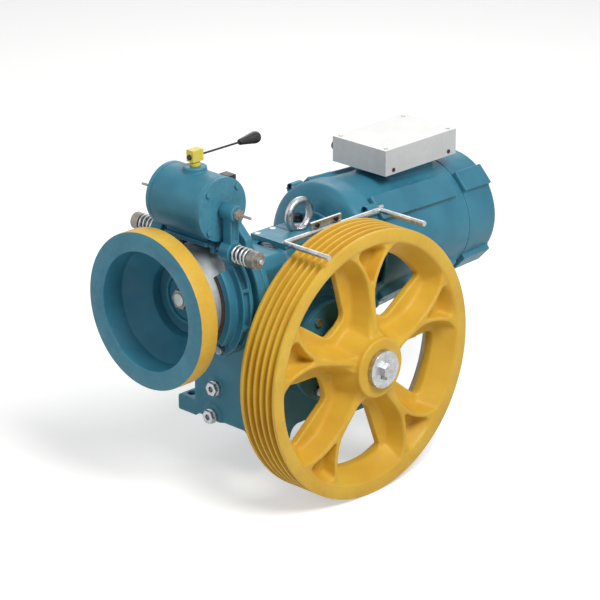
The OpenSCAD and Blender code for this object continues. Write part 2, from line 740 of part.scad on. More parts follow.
module brake_carrier() color(PAINT) difference() {
    union() {
        at_worm() rod_y(carrier_y, -neck_front, carrier_r);
        at_worm() xz(carrier_y, -neck_front) polygon([
            [-tab_root_x, tab_root_z], [tab_root_x, tab_root_z], [tab_x, tab_z],
            [tab_top_x, tab_top_z], [-tab_top_x, tab_top_z], [-tab_x, tab_z]]);
        both_x() at_pivot() rod_y(carrier_y - pivot_boss, carrier_y + eps, pivot_r + pivot_wall);
        at_worm() block(-shelf_x, shelf_x, -brake_y - shoe_w / 2, carrier_y + eps, shelf_z,
            shelf_z + shelf_t);
        both_x() at_worm() block(tie_lug_x, shelf_x, -brake_y - tie_lug_w, tie_lug_w - brake_y,
            spring_h - tie_r - tie_wall, shelf_z + eps);
    }
    at_magnet() rod_x(-tab_x, tab_x, magnet_r + near_gap);
    at_worm() rod_y(carrier_y - past, past - neck_front, worm_seat_r + 2);
    both_x() at_pivot() rod_y(carrier_y - pivot_boss - past, carrier_y + pin_depth, pivot_r);
    at_springs() rod_x(-shelf_x - past, shelf_x + past, tie_r);
    at_carrier_bolts() translate([0, 0, -carrier_t - past])
        cylinder(h = carrier_t + 2 * past, d = carrier_bolt_d);
    at_foot_screws() translate([0, 0, -past]) cylinder(h = shelf_t + 2 * past, d = foot_screw_d);
}

module pivot_pins() color(STEEL) both_x() at_pivot()
    rod_y(-brake_y - arm_w / 2 - pin_end, carrier_y + pin_depth, pivot_r);

seat_x = bar_out;  // outer face of the arms, where the springs press
spring_x = seat_x + near_gap;
cup_x = spring_x + spring_len;
nut_h = 5;
tie_nut_r = 9;
tie_end = cup_x + cup_len + nut_h + 5;
module at_springs() at_worm() translate([0, -brake_y, spring_h]) children();

module tie_rod() color(STEEL) at_springs() rod_x(-tie_end, tie_end, tie_r);
module spring_cups() color(STEEL) both_x() at_springs() difference() {
    union() {
        rod_x(cup_x, cup_x + cup_len, spring_r - 1);
        translate([cup_x + cup_len, 0, 0]) rotate([0, 90, 0]) cylinder(h = nut_h, r = tie_nut_r, $fn = 6);
    }
    rod_x(cup_x - past, cup_x + cup_len + nut_h + past, tie_r);
}

// A wound wire, cut straight across its axis at any height as a crescent
module coil(r, wire, len, turns) {
    rise = len / turns;
    half_a = 360 * wire / rise;
    steps = 8;
    function reach(i) = wire * sqrt(max(0, 1 - pow(2 * i / steps - 1, 2)));
    function spot(i, s) = let (a = half_a * (2 * i / steps - 1)) (r + s * reach(i)) * [cos(a), sin(a)];
    linear_extrude(len, twist = -360 * turns, slices = 14 * turns, segments = 2 * steps)
        polygon(concat([for (i = [0 : steps]) spot(i, 1)], [for (i = [steps - 1 : -1 : 1]) spot(i, -1)]));
}
module right_spring() color(STEEL) at_springs() translate([spring_x, 0, 0]) rotate([0, 90, 0])
    coil(spring_r - wire_r, wire_r, spring_len, spring_turns);
module left_spring() color(STEEL) mirror([1, 0, 0]) right_spring();

module at_magnet() translate([0, -brake_y, worm_z + magnet_h]) children();
foot_screw_len = 18;
foot_screw_d = 7;
magnet_screw_d = 6;
magnet_in_r = magnet_r - 12;
cover_x = magnet_half - end_cover_t;
cover_screw_in = 9;  // from the magnet's edge to its covers' screws
cover_screw_len = 12;  // length in the housing
plunger_in = 12;  // the thick end stops this far inside the cover
foot_screw_x = 37;
foot_screw_y = 13;
magnet_foot_in = 4;  // the magnet's foot stands in from the shelf's ends
magnet_foot_w = 26;  // half width of the magnet's foot
foot_rise = 20;  // the foot's height past the magnet's lowest line
coil_x0 = 12;
push_end = magnet_half + 2;  // outer ends of the push rods
plug_piece = [25, 18, 25];  // size of the cable's terminal piece
plug_piece_y = 26;
plug_piece_z = 30;
cam_half = 5;
cam_in = 1.5;  // the cam's round is this much inside the stem's
cam_drop = 16;  // the cam's end below the plungers' middle
lever_z = lever_boss_h + near_gap;
lever_collar_r = 10;
lever_collar_h = 6;
lever_neck_r = 6;
head_z = lever_z + 9;
head_w = 9;  // half width, half length and height of the clevis
head_l = 13;
head_h = 22;
rod_h = lever_boss_h + 18;
rod_collar_r = 5;
pin_out = 3;
knob_y = release_len - 8;  // the knob's near end and the middle of its ball
knob_end = knob_y + knob_len - knob_r;
// Under the shelf, with +Z up into the magnet's foot
module at_foot_screws() at_worm() for (x = [-1, 1] * foot_screw_x, y = [-1, 1] * foot_screw_y)
    translate([x, y - brake_y, shelf_z]) children();
module at_cover_screws() at_magnet() both_x() for (a = [45, 135, 225, 315])
    rotate([a, 0, 0]) translate([magnet_half, 0, magnet_r - cover_screw_in]) out_x() children();

module magnet_housing() color(PAINT) difference() {
    union() {
        at_magnet() rod_x(-cover_x, cover_x, magnet_r);
        at_magnet() rod_z(0, lever_boss_h, lever_boss_r);
        at_worm() block(magnet_foot_in - shelf_x, shelf_x - magnet_foot_in, -brake_y - magnet_foot_w,
            magnet_foot_w - brake_y, shelf_z + shelf_t, magnet_h - magnet_r + foot_rise);
    }
    at_magnet() rod_x(-cover_x - past, cover_x + past, magnet_in_r);
    at_magnet() rod_z(0, lever_boss_h + past, stem_r + running);
    at_foot_screws() cylinder(h = foot_screw_len + past, d = foot_screw_d);
    at_cover_screws() translate([0, 0, -end_cover_t - cover_screw_len])
        cylinder(h = end_cover_t + cover_screw_len + past, d = magnet_screw_d);
}
module magnet_covers() color(PAINT) both_x() difference() {
    at_magnet() rod_x(cover_x, magnet_half, magnet_r);
    at_magnet() rod_x(cover_x - past, magnet_half + past, push_r + running);
    at_cover_screws() translate([0, 0, -end_cover_t - past])
        cylinder(h = end_cover_t + 2 * past, d = magnet_screw_d);
}
module magnet_bolts() color(STEEL) {
    at_cover_screws() bolt(magnet_screw_d, end_cover_t + cover_screw_len - past);
    at_foot_screws() mirror([0, 0, 1]) bolt(foot_screw_d, foot_screw_len);
}
module magnet_coil() color(BRONZE) both_x() at_magnet()
    tube_x(coil_x0, cover_x, magnet_in_r, plunger_r + running);
// The cable's terminal piece, shaped to the magnet's round
module magnet_plug() color(DARK) at_magnet() difference() {
    block(cover_x - plug_piece.x, cover_x, plug_piece_y, plug_piece_y + plug_piece.y, plug_piece_z,
        plug_piece_z + plug_piece.z);
    rod_x(0, magnet_half, magnet_r);
}

module right_plunger() color(STEEL) at_magnet() {
    rod_x(cam_half + near_gap, cover_x - plunger_in, plunger_r);
    rod_x(cover_x - plunger_in - eps, push_end, push_r);
}
module left_plunger() color(STEEL) mirror([1, 0, 0]) right_plunger();

// The lever's stem ends in a flat cam between the plungers
module release_lever() color(YELLOW) at_magnet() {
    rod_z(lever_z, lever_z + lever_collar_h, lever_collar_r);
    rod_z(lever_z + lever_collar_h - past, head_z + lever_neck_r - past, lever_neck_r);
    difference() {
        block(-head_w, head_w, -head_l, head_l, head_z, head_z + head_h);
        translate([0, 0, rod_h]) rod_y(-head_l - past, head_l + past, release_r);
    }
    rod_z(plunger_r + past, lever_z + eps, stem_r);
    intersection() {
        rod_z(-cam_drop, plunger_r + past + eps, stem_r - cam_in);
        block(-cam_half, cam_half, -stem_r, stem_r, -cam_drop - past, plunger_r + stem_r);
    }
}
module release_rod() color(STEEL) at_magnet() translate([0, 0, rod_h]) {
    rod_y(-head_l - pin_out, release_len, release_r);
    rod_y(-head_l - pin_out, -head_l, rod_collar_r);
    rod_y(head_l, head_l + pin_out, rod_collar_r);
}
module release_knob() color(DARK) at_magnet() translate([0, 0, rod_h]) difference() {
    union() {
        rod_y(knob_y, knob_end, knob_r / 2, knob_r - 0.4);
        translate([0, knob_end, 0]) sphere(r = knob_r);
    }
    rod_y(knob_y - past, release_len, release_r);
}

// --- brake arms ---------------------------------------------------------------

rib_a = 16.5;  // angle from a shoe's middle to its two cross ribs
rib_half_a = 1.5;
pad_ring = 3;  // width of the spring seat's ring
arm_top_in = 5;  // the top boss stands past the bar, inside and outside
arm_top_out = 6;
tie_room = 3;
bow_x = shoe_r * cos(shoe_a);
bow_z = shoe_r * sin(shoe_a);
module right_arm() color(PAINT) difference() {
    union() {
        at_worm() bow(drum_r + lining_t, shoe_r, -shoe_a, shoe_a, -brake_y - shoe_w / 2,
            shoe_w / 2 - brake_y);
        at_worm() bow(bow_in_r, bow_out_r, -shoe_a, shoe_a, -brake_y - arm_w / 2, arm_w / 2 - brake_y);
        at_worm() xz(-brake_y - arm_w / 2 + seat_step, arm_w / 2 - seat_step - brake_y) arm_outline();
        at_magnet() rod_x(bar_in - arm_top_in, bar_out + arm_top_out, arm_top_r);
        at_springs() rod_x(bar_in - 4, bar_out, spring_r + pad_ring);
    }
    at_worm() for (a = [[-shoe_a + 2, -rib_a - rib_half_a], [rib_half_a - rib_a, rib_a - rib_half_a],
        [rib_a + rib_half_a, shoe_a]])
        bow(bow_out_r - channel_d, bow_out_r + cut_reach, a[0], a[1], -brake_y - arm_w / 2 + ridge_w,
            arm_w / 2 - ridge_w - brake_y);
    at_worm() block(bar_out - channel_d / 2, bar_out + cut_reach, -brake_y - arm_w / 2 + ridge_w,
        arm_w / 2 - ridge_w - brake_y, spring_h + spring_r + pad_ring, magnet_h - arm_top_r + 2);
    at_pivot() rod_y(-brake_y - arm_w, arm_w - brake_y, pivot_r + running);
    at_springs() rod_x(bar_in - spring_r, bar_out + past, tie_r + tie_room);
    at_springs() rod_x(seat_x, seat_x + spring_len, spring_r + pad_ring + past);
    at_magnet() rod_x(bar_in - arm_top_r, bar_out + arm_top_r, screw_r);
}

module arm_outline() {
    polygon([
        [bow_x - 6, bow_z - 8], [bow_out_r * cos(shoe_a), bow_out_r * sin(shoe_a) - 2],
        [bar_out, bow_z + 26], [bar_out, magnet_h - 6], [bar_in, magnet_h - 6], [bar_in, bow_z + 14]]);
    polygon([
        [bow_x - 4, 6 - bow_z], [bow_out_r * cos(shoe_a), 2 - bow_out_r * sin(shoe_a)],
        [pivot_x + 14, -pivot_drop - 9], [pivot_x, -pivot_drop - pivot_r - pivot_wall],
        [pivot_x - 12, -pivot_drop - 10], [pivot_x - 8, 8 - pivot_drop]]);
    translate([pivot_x, -pivot_drop]) circle(r = pivot_r + pivot_wall);
}

module right_lining() color(DARK) at_worm()
    bow(drum_r + near_gap, drum_r + lining_t, -shoe_a, shoe_a, -brake_y - shoe_w / 2,
        shoe_w / 2 - brake_y);

lock_nut_r = 11;
lock_nut_h = 8;
screw_out = 18;  // the screw's thread and its pin past the bar
screw_pin_r = 2.5;
screw_pin_out = 41;
module right_screw() color(STEEL) at_magnet() {
    rod_x(push_end + near_gap, bar_out + screw_out, screw_r);
    translate([bar_out + arm_top_out, 0, 0]) rotate([0, 90, 0]) difference() {
        cylinder(h = lock_nut_h, r = lock_nut_r, $fn = 6);
        translate([0, 0, -past]) cylinder(h = lock_nut_h + 2 * past, r = screw_r - past);
    }
    rod_x(bar_out + screw_out - past, bar_out + screw_pin_out, screw_pin_r);
}
module left_arm() color(PAINT) mirror([1, 0, 0]) right_arm();
module left_lining() color(DARK) mirror([1, 0, 0]) right_lining();
module left_screw() color(STEEL) mirror([1, 0, 0]) right_screw();

// --- motor --------------------------------------------------------------------

frame_y = bell_front + bell_len;
frame_end = frame_y + frame_len;
shield_t = 6;
motor_bearing_r = 36;
motor_bearing_w = 16;
motor_shaft_r = 18;
bore_r = frame_r2 - frame_t;
pad_a = 44;  // angle of the corner pads above the horizontal
pad_as = [pad_a, 180 - pad_a, 180 + pad_a, 360 - pad_a];
pad_root_r = bore_r - 4;
pad_stop = 27;  // from the frame's back end to the pads' ends
cowl_pad_w = 22;
cowl_pad_h = 8;
cowl_t = 6;
motor_bolt_d = 10;
motor_bolt_depth = 17;  // length of the bolts in the frame
motor_bolt_out = 4;  // the bolts stand this far outside the bell
bell_t = 9;
bell_window = [-46, 24];  // height of the bell's side windows, from the worm shaft
bell_window_y = [28, 6];  // the windows' ends, in from the bell's back face
lug_len = 16;
lug_r = 12;
box_pad_w = 45;  // half width of the terminal box's pad
box_pad_in = 36;
wire_hole_w = 14;  // half width of the hole for the wires under the box
wire_hole = [60, 100];  // its ends, from the terminal box's front
core = [88, 216];  // ends of the laminated core, from the frame's front
winding = [18, 12];  // length of the windings past the core
fan_front = frame_end + 24;
fan_w = 32;
shaft_joint_y = spigot_end + 12;  // where the worm shaft and the motor shaft meet

module at_motor_bolts() at_worm() for (a = pad_as)
    rotate([0, -a, 0]) translate([bell_r + motor_bolt_out, frame_y - lug_len, 0]) out_front() children();

module motor_bell() color(PAINT) difference() {
    union() {
        at_worm() turned_y() polygon([
            [spigot_r, bell_front], [rear_pad_r, bell_front], [rear_pad_r + 14, bell_front + 0.8],
            [bell_r - 24, bell_front + 3], [bell_r - 13, bell_front + 6.5], [bell_r - 5.5, bell_front + 10.5],
            [bell_r - 1.5, bell_front + 15], [bell_r, bell_front + 20], [bell_r, frame_y],
            [bell_r - bell_t, frame_y], [bell_r - bell_t, bell_front + 21],
            [bell_r - bell_t - 6, bell_front + 15], [rear_pad_r, bell_front + bell_t],
            [spigot_r, bell_front + bell_t]]);
        at_motor_bolts() translate([0, 0, seat_step - lug_len]) cylinder(h = 2 * lug_len, r = lug_r);
    }
    at_worm() both_x() block(bell_r - 3 * bell_t, bell_r + bell_t, frame_y - bell_window_y[0],
        frame_y - bell_window_y[1], bell_window[0], bell_window[1]);
    at_motor_bolts() cylinder(h = lug_len + past, r = motor_bolt_d);
    at_motor_bolts() translate([0, 0, -lug_len - past])
        cylinder(h = lug_len + 2 * past, d = motor_bolt_d);
    at_worm() rod_y(frame_y - 2.5 * lug_len, frame_y + past, bell_r - bell_t);
    // clear of the casing, which the bell meets only at its pad
    at_shaft() rod_x(box_left_x - near_gap, base_right + near_gap, base_front + near_gap);
    block(box_left_x - near_gap, base_right + near_gap, 0, base_back + near_gap, 0, shaft_z + near_gap);
}

module motor_frame() color(PAINT) difference() {
    union() {
        at_worm() rod_y(frame_y, frame_end, frame_r1, frame_r2);
        at_worm() for (a = pad_as) rotate([0, 90 - a, 0]) yz(-pad_w, pad_w) polygon([
            [frame_y + seat_step, pad_root_r], [frame_y + seat_step, bell_r + pad_out],
            [frame_end - pad_stop, frame_r2 + pad_h], [frame_end - pad_stop, pad_root_r]]);
        at_worm() block(-box_pad_w, box_pad_w, box_y + box_pad_in, box_y + box_l - box_pad_in,
            frame_r2 - 12, box_z);
    }
    at_worm() rod_y(frame_y + shield_t + motor_bearing_w + 4, frame_end - motor_bearing_w - 4, bore_r);
    at_worm() rod_y(frame_y + shield_t, frame_end + past, motor_bearing_r);
    at_worm() rod_y(frame_y - past, frame_y + shield_t + past, motor_bearing_r - 4);
    at_worm() block(-wire_hole_w, wire_hole_w, box_y + wire_hole[0], box_y + wire_hole[1], bore_r - 20,
        box_z + past);
    at_motor_bolts() translate([0, 0, -lug_len - motor_bolt_depth - past])
        cylinder(h = motor_bolt_depth + 3, d = motor_bolt_d);
}

module stator() color(STEEL) at_worm() difference() {
    union() {
        rod_y(frame_y + core[0], frame_y + core[1], bore_r);
        rod_y(frame_y + core[0] - winding[0], frame_y + core[1] + winding[1], bore_r - 10);
    }
    rod_y(frame_y, frame_end, rotor_r + air_gap);
}
module motor_rotor() color(STEEL) at_worm() {
    rod_y(frame_y + core[0], frame_y + core[1], rotor_r);
    rod_y(shaft_joint_y, fan_front + fan_w + 6, motor_shaft_r);
}
module coupling() color(STEEL) at_worm()
    tube_y(spigot_end + past, frame_y + shield_t - 2, motor_bearing_r - 6, motor_shaft_r);
module cooling_fan() color(DARK) at_worm() difference() {
    union() {
        rod_y(fan_front, fan_front + fan_w, motor_shaft_r + 7);
        rod_y(fan_front, fan_front + 3, fan_r - 20);
        round_y(8) block(motor_shaft_r + 2, fan_r, fan_front, fan_front + fan_w - 2, -1.5, 1.5);
    }
    rod_y(frame_end, frame_end + cowl_len, motor_shaft_r);
}
module fan_cowl() color(PAINT) at_worm() difference() {
    union() {
        rod_y(frame_end, frame_end + cowl_len, frame_r2, frame_r2 - cowl_t / 2);
        for (a = pad_as) rotate([0, 90 - a, 0]) yz(-cowl_pad_w, cowl_pad_w) polygon([
            [frame_end + seat_step, pad_root_r], [frame_end + seat_step, frame_r2 + cowl_pad_h],
            [frame_end + cowl_len - 2, frame_r2 + cowl_pad_h - 2],
            [frame_end + cowl_len - 2, pad_root_r]]);
    }
    rod_y(frame_end - past, frame_end + cowl_len - cowl_t / 2, frame_r2 - cowl_t);
    round_y(24) block(34, fan_r, frame_end + cowl_len - 2 * cowl_t, frame_end + cowl_len + past, -2.5, 2.5);
}
module motor_bolts() color(STEEL) at_motor_bolts() bolt(motor_bolt_d, lug_len + motor_bolt_depth);

// --- terminal box ---------------------------------------------------------------

box_x = box_w / 2;
base_h = 14;
floor_t = 3;
gland_r = 8;
cable_r = 5;
gland_y = 14;  // from the terminal box's front face
gland_z = 28;
box_screw_d = 4;
lid_screw_end = 12;  // from the box's ends, and then its sides, to the screws
lid_screw_side = 11;
side_screw_end = 22;
side_screw_z = 9;
module at_box_screws() at_worm() {
    for (x = [-1, 1], y = [lid_screw_end, box_l - lid_screw_end])
        translate([x * (box_x - lid_screw_side), box_y + y, box_z + box_h]) children();
    for (y = [side_screw_end, box_l - side_screw_end]) both_x()
        translate([box_x, box_y + y, box_z + side_screw_z]) out_x() children();
}
module at_gland() at_worm() translate([-box_x, box_y + gland_y, box_z + gland_z])
    rotate([0, -90, 0]) children();
module terminal_base() color(STEEL) difference() {
    at_worm() block(sheet_t - box_x, box_x - sheet_t, box_y + sheet_t, box_y + box_l - sheet_t,
        box_z, box_z + base_h);
    at_worm() block(2 * sheet_t - box_x, box_x - 2 * sheet_t, box_y + 2 * sheet_t,
        box_y + box_l - 2 * sheet_t, box_z + floor_t, box_z + base_h + past);
    at_worm() block(-wire_hole_w, wire_hole_w, box_y + wire_hole[0], box_y + wire_hole[1],
        box_z - past, box_z + floor_t + past);
    at_box_screws() translate([0, 0, -2 * box_screw_d])
        cylinder(h = 2 * box_screw_d + past, d = box_screw_d);
}
module terminal_cover() color(WHITE) difference() {
    at_worm() block(-box_x, box_x, box_y, box_y + box_l, box_z, box_z + box_h);
    at_worm() block(sheet_t - box_x, box_x - sheet_t, box_y + sheet_t, box_y + box_l - sheet_t,
        box_z - past, box_z + box_h - sheet_t);
    at_box_screws() translate([0, 0, -2 * box_screw_d])
        cylinder(h = 2 * box_screw_d + past, d = box_screw_d);
    at_gland() cylinder(h = 6 * sheet_t, r = gland_r, center = true);
}
module terminal_screws() color(STEEL) at_box_screws() {
    translate([0, 0, -1.5 * box_screw_d]) cylinder(h = 1.5 * box_screw_d + eps, d = box_screw_d);
    cylinder(h = box_screw_d / 2, d = 2 * box_screw_d);
}
block_y = wire_hole[1] + 10;
block_size = [70, 40, 22];
module terminal_block() color(DARK) at_worm() translate([0, box_y + block_y, box_z + floor_t])
    difference() {
        block(-block_size.x / 2, block_size.x / 2, 0, block_size.y, 0, block_size.z);
        for (x = [-24 : 12 : 24]) block(x - 4, x + 4, -past, 12, 12, block_size.z + past);
    }
module cable_gland() color(DARK) at_gland() difference() {
    union() {
        translate([0, 0, -gland_r]) cylinder(h = gland_r + past, r = gland_r);
        cylinder(h = 4, r = gland_r + 3, $fn = 6);
        cylinder(h = gland_r + 1, r = gland_r + 1);
    }
    translate([0, 0, -gland_r - past]) cylinder(h = 20, r = cable_r);
}

// --- sheave and slow shaft -------------------------------------------------------

window_half_w = 33;
groove_room = 0.4;  // the grooves' play round the rope
undercut_w = 3;
edge = 1.5;  // bevel of the turned edges
pocket_half_a = 13;  // half angle of the floor between the forked branches
hub_ring = 9;  // length of the hub's front ring
key_w = 18;
key_h = 11;
key_seat = 6;  // depth of the keys in their shafts
key_end = 4;
shaft_end = 3;  // the shaft stops this far inside the hub and the casing
hub_bore_r = near_r + shaft_room;
rim_seat_r = wheel_pitch_r - 26;
rim_seat_t = 14;
wheel_hub_t = 22;
wheel_hole_r = 11;
shaft_hole_r = 8;

module groove_cut(x) translate([0, 0, x]) rotate_extrude() {
    translate([sheave_r - 0.7 * rope_d, 0]) circle(d = rope_d + groove_room);
    translate([sheave_r - 0.7 * rope_d, -rope_d / 2 - groove_room])
        square([rope_d, rope_d + 2 * groove_room]);
    translate([sheave_r - 1.5 * rope_d, -undercut_w / 2]) square([rope_d, undercut_w]);
}

module window_outline() {
    out_r = rim_in_r - window_corner_r;
    out_a = window_half_a - asin(window_corner_r / out_r);
    ay = out_r * sin(out_a);
    az = out_r * cos(out_a);
    by = window_half_w - window_inner_r;
    bz = window_in + window_inner_r;
    side_a = atan2(az - bz, ay - by)
        - acos((window_inner_r - window_corner_r) / norm([az - bz, ay - by]));
    half = concat(
        arc(by, bz, window_inner_r, -90, side_a, 6),
        arc(ay, az, window_corner_r, side_a, 90 - out_a, 5),
        [for (a = [out_a * 0.8 : -out_a / 5 : 0]) [rim_in_r * sin(a), rim_in_r * cos(a)]]);
    polygon(concat(half, [for (i = [len(half) - 1 : -1 : 0]) [-half[i].x, half[i].y]]));
}
// A rib along +Z from z0 to z1 with sloping flanks, its foot on the web
module rib(z0, z1, root, top) translate([0, 0, z0]) linear_extrude(z1 - z0) polygon([
    [web_x - eps, -root], [web_x - eps, root], [web_x + rib_h, top], [web_x + rib_h, -top]]);

module spoke() {
    rib(hub_back_r - 20, fork_r + 14, rib_root_w, rib_top_w);
    for (s = [-1, 1]) translate([0, 0, fork_r]) rotate([-s * fork_a, 0, 0])
        rib(-4, lip_r - fork_r + 16, rib_root_w - 6, rib_top_w - 5);
    yz(web_x - eps, web_x + rib_h / 3) polygon([
        [0, fork_r - 20], lip_r * [sin(pocket_half_a), cos(pocket_half_a)],
        lip_r * [-sin(pocket_half_a), cos(pocket_half_a)]]);
    rib_rise();
}
// The rise of a spoke's rib towards the hub
module rib_rise() translate([0, rib_top_w, 0]) rotate([90, 0, 0]) linear_extrude(2 * rib_top_w)
    polygon([[web_x, 20], [hub_x - hub_ring, 20], [hub_x - hub_ring, hub_r],
        [web_x + rib_h, 1.75 * hub_r], [web_x, 1.75 * hub_r]]);

module sheave() color(YELLOW) at_shaft() difference() {
    union() {
        difference() {
            turned_x() polygon([
                [sheave_r, sheave_x + edge], [sheave_r, sheave_x + sheave_w - edge],
                [sheave_r - edge, sheave_x + sheave_w], [lip_r, sheave_x + sheave_w],
                [rim_in_r, web_x], [rim_in_r, web_x - web_t], [lip_r, sheave_x],
                [sheave_r - edge, sheave_x]]);
            rotate([0, 90, 0]) for (i = [0 : groove_count - 1])
                groove_cut(sheave_x + sheave_w / 2 + (i - (groove_count - 1) / 2) * groove_pitch);
        }
        rod_x(web_x - web_t, web_x, rim_in_r + 2);
        turned_x() polygon([
            [shaft_r - 2, sheave_x], [hub_back_r, sheave_x], [hub_back_r + 6, web_x - web_t],
            [hub_back_r + 12, web_x], [hub_r, hub_x - hub_ring], [hub_r, hub_x],
            [shaft_r - 2, hub_x]]);
        intersection() {
            round_x(spokes) spoke();
            rod_x(web_x - 2, hub_x, lip_r + 1);
        }
    }
    round_x(spokes, 180 / spokes) yz(web_x - web_t - 5, hub_x) window_outline();
    rod_x(sheave_x - past, hub_x + past, shaft_r);
    translate([0, 0, shaft_r - key_seat])
        block(sheave_x - past, hub_x + past, -key_w / 2, key_w / 2, 0, key_h);
}

module slow_shaft() color(STEEL) at_shaft() difference() {
    union() {
        rod_x(sheave_x - eps, hub_x - shaft_end, shaft_r);
        rod_x(case_half, sheave_x, near_r);
        rod_x(-case_half, case_half + eps, hub_bore_r);
        rod_x(box_left_x + shaft_end, eps - case_half, far_r);
    }
    block(sheave_x + key_end, hub_x, -key_w / 2, key_w / 2, shaft_r - key_seat, shaft_r + past);
    block(-wheel_w / 2, wheel_w / 2, -key_w / 2, key_w / 2, hub_bore_r - key_seat, hub_bore_r + past);
    rod_x(hub_x - 40, hub_x, shaft_hole_r);
}
module shaft_keys() color(STEEL) at_shaft() {
    translate([0, 0, shaft_r - key_seat])
        block(sheave_x + key_end, hub_x - shaft_end, -key_w / 2, key_w / 2, 0, key_h);
    translate([0, 0, hub_bore_r - key_seat])
        block(-wheel_w / 2, wheel_w / 2, -key_w / 2, key_w / 2, 0, key_h);
}
module wheel_hub() color(DARK) at_shaft() difference() {
    union() {
        rod_x(-wheel_w / 2, wheel_w / 2, hub_bore_r + wheel_hub_t);
        rod_x(-wheel_w / 4, wheel_w / 4, rim_seat_r);
        tube_x(-wheel_w / 2, wheel_w / 2, rim_seat_r, rim_seat_r - rim_seat_t);
    }
    rod_x(-wheel_w, wheel_w, hub_bore_r);
    translate([0, 0, hub_bore_r - key_seat]) block(-wheel_w, wheel_w, -key_w / 2, key_w / 2, 0, key_h);
    round_x(6) translate([-wheel_w, 0, (hub_bore_r + wheel_hub_t + rim_seat_r - rim_seat_t) / 2])
        rod_x(0, 2 * wheel_w, wheel_hole_r);
}
module worm_wheel() color(BRONZE) at_shaft() difference() {
    intersection() {
        union() {
            rod_x(-wheel_w / 2, wheel_w / 2, wheel_pitch_r - dedendum);
            round_x(wheel_teeth) rotate([0, 0, -lead_a]) yz(-wheel_w, wheel_w) polygon([
                [-tooth_half - dedendum * tan(flank_a), wheel_pitch_r - dedendum - 1],
                [tooth_half + dedendum * tan(flank_a), wheel_pitch_r - dedendum - 1],
                [tooth_half - module_m * tan(flank_a), wheel_tip_r],
                [module_m * tan(flank_a) - tooth_half, wheel_tip_r]]);
        }
        rod_x(-wheel_w / 2, wheel_w / 2, wheel_tip_r);
    }
    rod_x(-wheel_w, wheel_w, rim_seat_r);
}
module end_cap() color(STEEL) at_shaft() difference() {
    rod_x(hub_x, hub_x + end_cap_t, end_cap_r);
    rod_x(hub_x - past, hub_x + end_cap_t + past, shaft_hole_r);
}
module end_cap_bolt() color(STEEL) at_shaft() translate([hub_x + end_cap_t, 0, 0]) out_x()
    bolt(2 * shaft_hole_r, end_cap_t + 36);

// --- worm, drum and handwheel -------------------------------------------------------

function thread_r(d) = max(worm_root_r, min(worm_tip_r, worm_r + (tooth_half - d) / tan(flank_a)));
thread_steps = 24;
nut_r = 12;  // radius of the worm shaft's thread in the nut
nut_out = 22;
core_in = 6;  // the shaft beside the thread is this much thinner
drum_hub = [14, 4];  // wall of the drum's hub, and its step in from the drum's back
drum_bevel = [4, 11];
cup_ring = [46, 52];  // radii of the ring in the handwheel's floor
cup_ring_h = 4;
washer_r = 24;
washer_t = 4;
shaft_nut_r = 20;
shaft_nut_h = 16;
thread_turns = thread_len / tooth_pitch;
module thread() rotate([-90, 0, 0]) rotate([0, 0, 90 - 180 * thread_turns])
    linear_extrude(thread_len, center = true, twist = -360 * thread_turns,
        slices = round(14 * thread_turns), segments = thread_steps)
        polygon([for (i = [0 : thread_steps - 1]) let (a = i * 360 / thread_steps)
            thread_r(abs(a - 180) / 360 * tooth_pitch) * [cos(a), sin(a)]]);

nut_y = drum_back + drum_web_in + drum_web_t + cup_t;  // the handwheel's floor, under the washer
module worm_shaft() color(STEEL) at_worm() {
    thread();
    rod_y(-neck_front + worm_bearing_w, eps - thread_len / 2, worm_root_r - core_in);
    rod_y(thread_len / 2 - eps, worm_rear_y, worm_root_r - core_in);
    rod_y(carrier_y - 2, -neck_front + worm_bearing_w + eps, worm_seat_r);
    rod_y(cup_t - nut_y, carrier_y, drum_seat_r);
    rod_y(-nut_y - nut_out, cup_t + eps - nut_y, nut_r);
    rod_y(worm_rear_y - eps, spigot_end, worm_seat_r);
    rod_y(spigot_end - eps, shaft_joint_y, motor_shaft_r);
}

// The drum's front rim follows the handwheel's cone
module brake_drum() color(STEEL) at_worm() turned_y() polygon([
    [drum_seat_r, -drum_back - drum_web_in - drum_web_t], [drum_seat_r, -drum_back - drum_hub[1]],
    [drum_seat_r + drum_hub[0], -drum_back - drum_hub[1]],
    [drum_seat_r + drum_hub[0], -drum_back - drum_web_in],
    [drum_r - drum_t, -drum_back - drum_web_in], [drum_r - drum_t, -drum_back],
    [drum_r, -drum_back], [drum_r, -drum_back - drum_w],
    [drum_r - drum_bevel[0], -drum_back - drum_w],
    [drum_r - drum_t, drum_bevel[1] - drum_back - drum_w],
    [drum_r - drum_t, -drum_back - drum_web_in - drum_web_t]]);

module handwheel() color(PAINT) at_worm() turned_y() polygon([
    [nut_r, -nut_y], [cup_ring[0], -nut_y], [cup_ring[0], -nut_y - cup_ring_h],
    [cup_ring[1], -nut_y - cup_ring_h], [cup_ring[1], -nut_y], [cup_r, -nut_y],
    [cup_r, -nut_y - cup_bottom_d], [wheel_mouth_r, wheel_mouth_d - wheel_front],
    [wheel_mouth_r, edge - wheel_front], [wheel_mouth_r + edge, -wheel_front],
    [wheel_rim_r - edge, -wheel_front], [wheel_rim_r, edge - wheel_front],
    [wheel_rim_r, wheel_rim_w - edge - wheel_front], [wheel_rim_r - edge, wheel_rim_w - wheel_front],
    [wheel_mouth_r + cup_t + 2, wheel_rim_w - wheel_front],
    [cup_r + cup_t, 6 - nut_y - cup_bottom_d], [cup_r + cup_t, cup_t - nut_y], [nut_r, cup_t - nut_y]]);

module handwheel_nut() color(STEEL) at_worm() difference() {
    union() {
        rod_y(-nut_y - washer_t, -nut_y, washer_r);
        translate([0, -nut_y - washer_t, 0]) out_front()
            cylinder(h = shaft_nut_h, r = shaft_nut_r, $fn = 6);
    }
    rod_y(-nut_y - washer_t - shaft_nut_h - past, past - nut_y, nut_r);
}

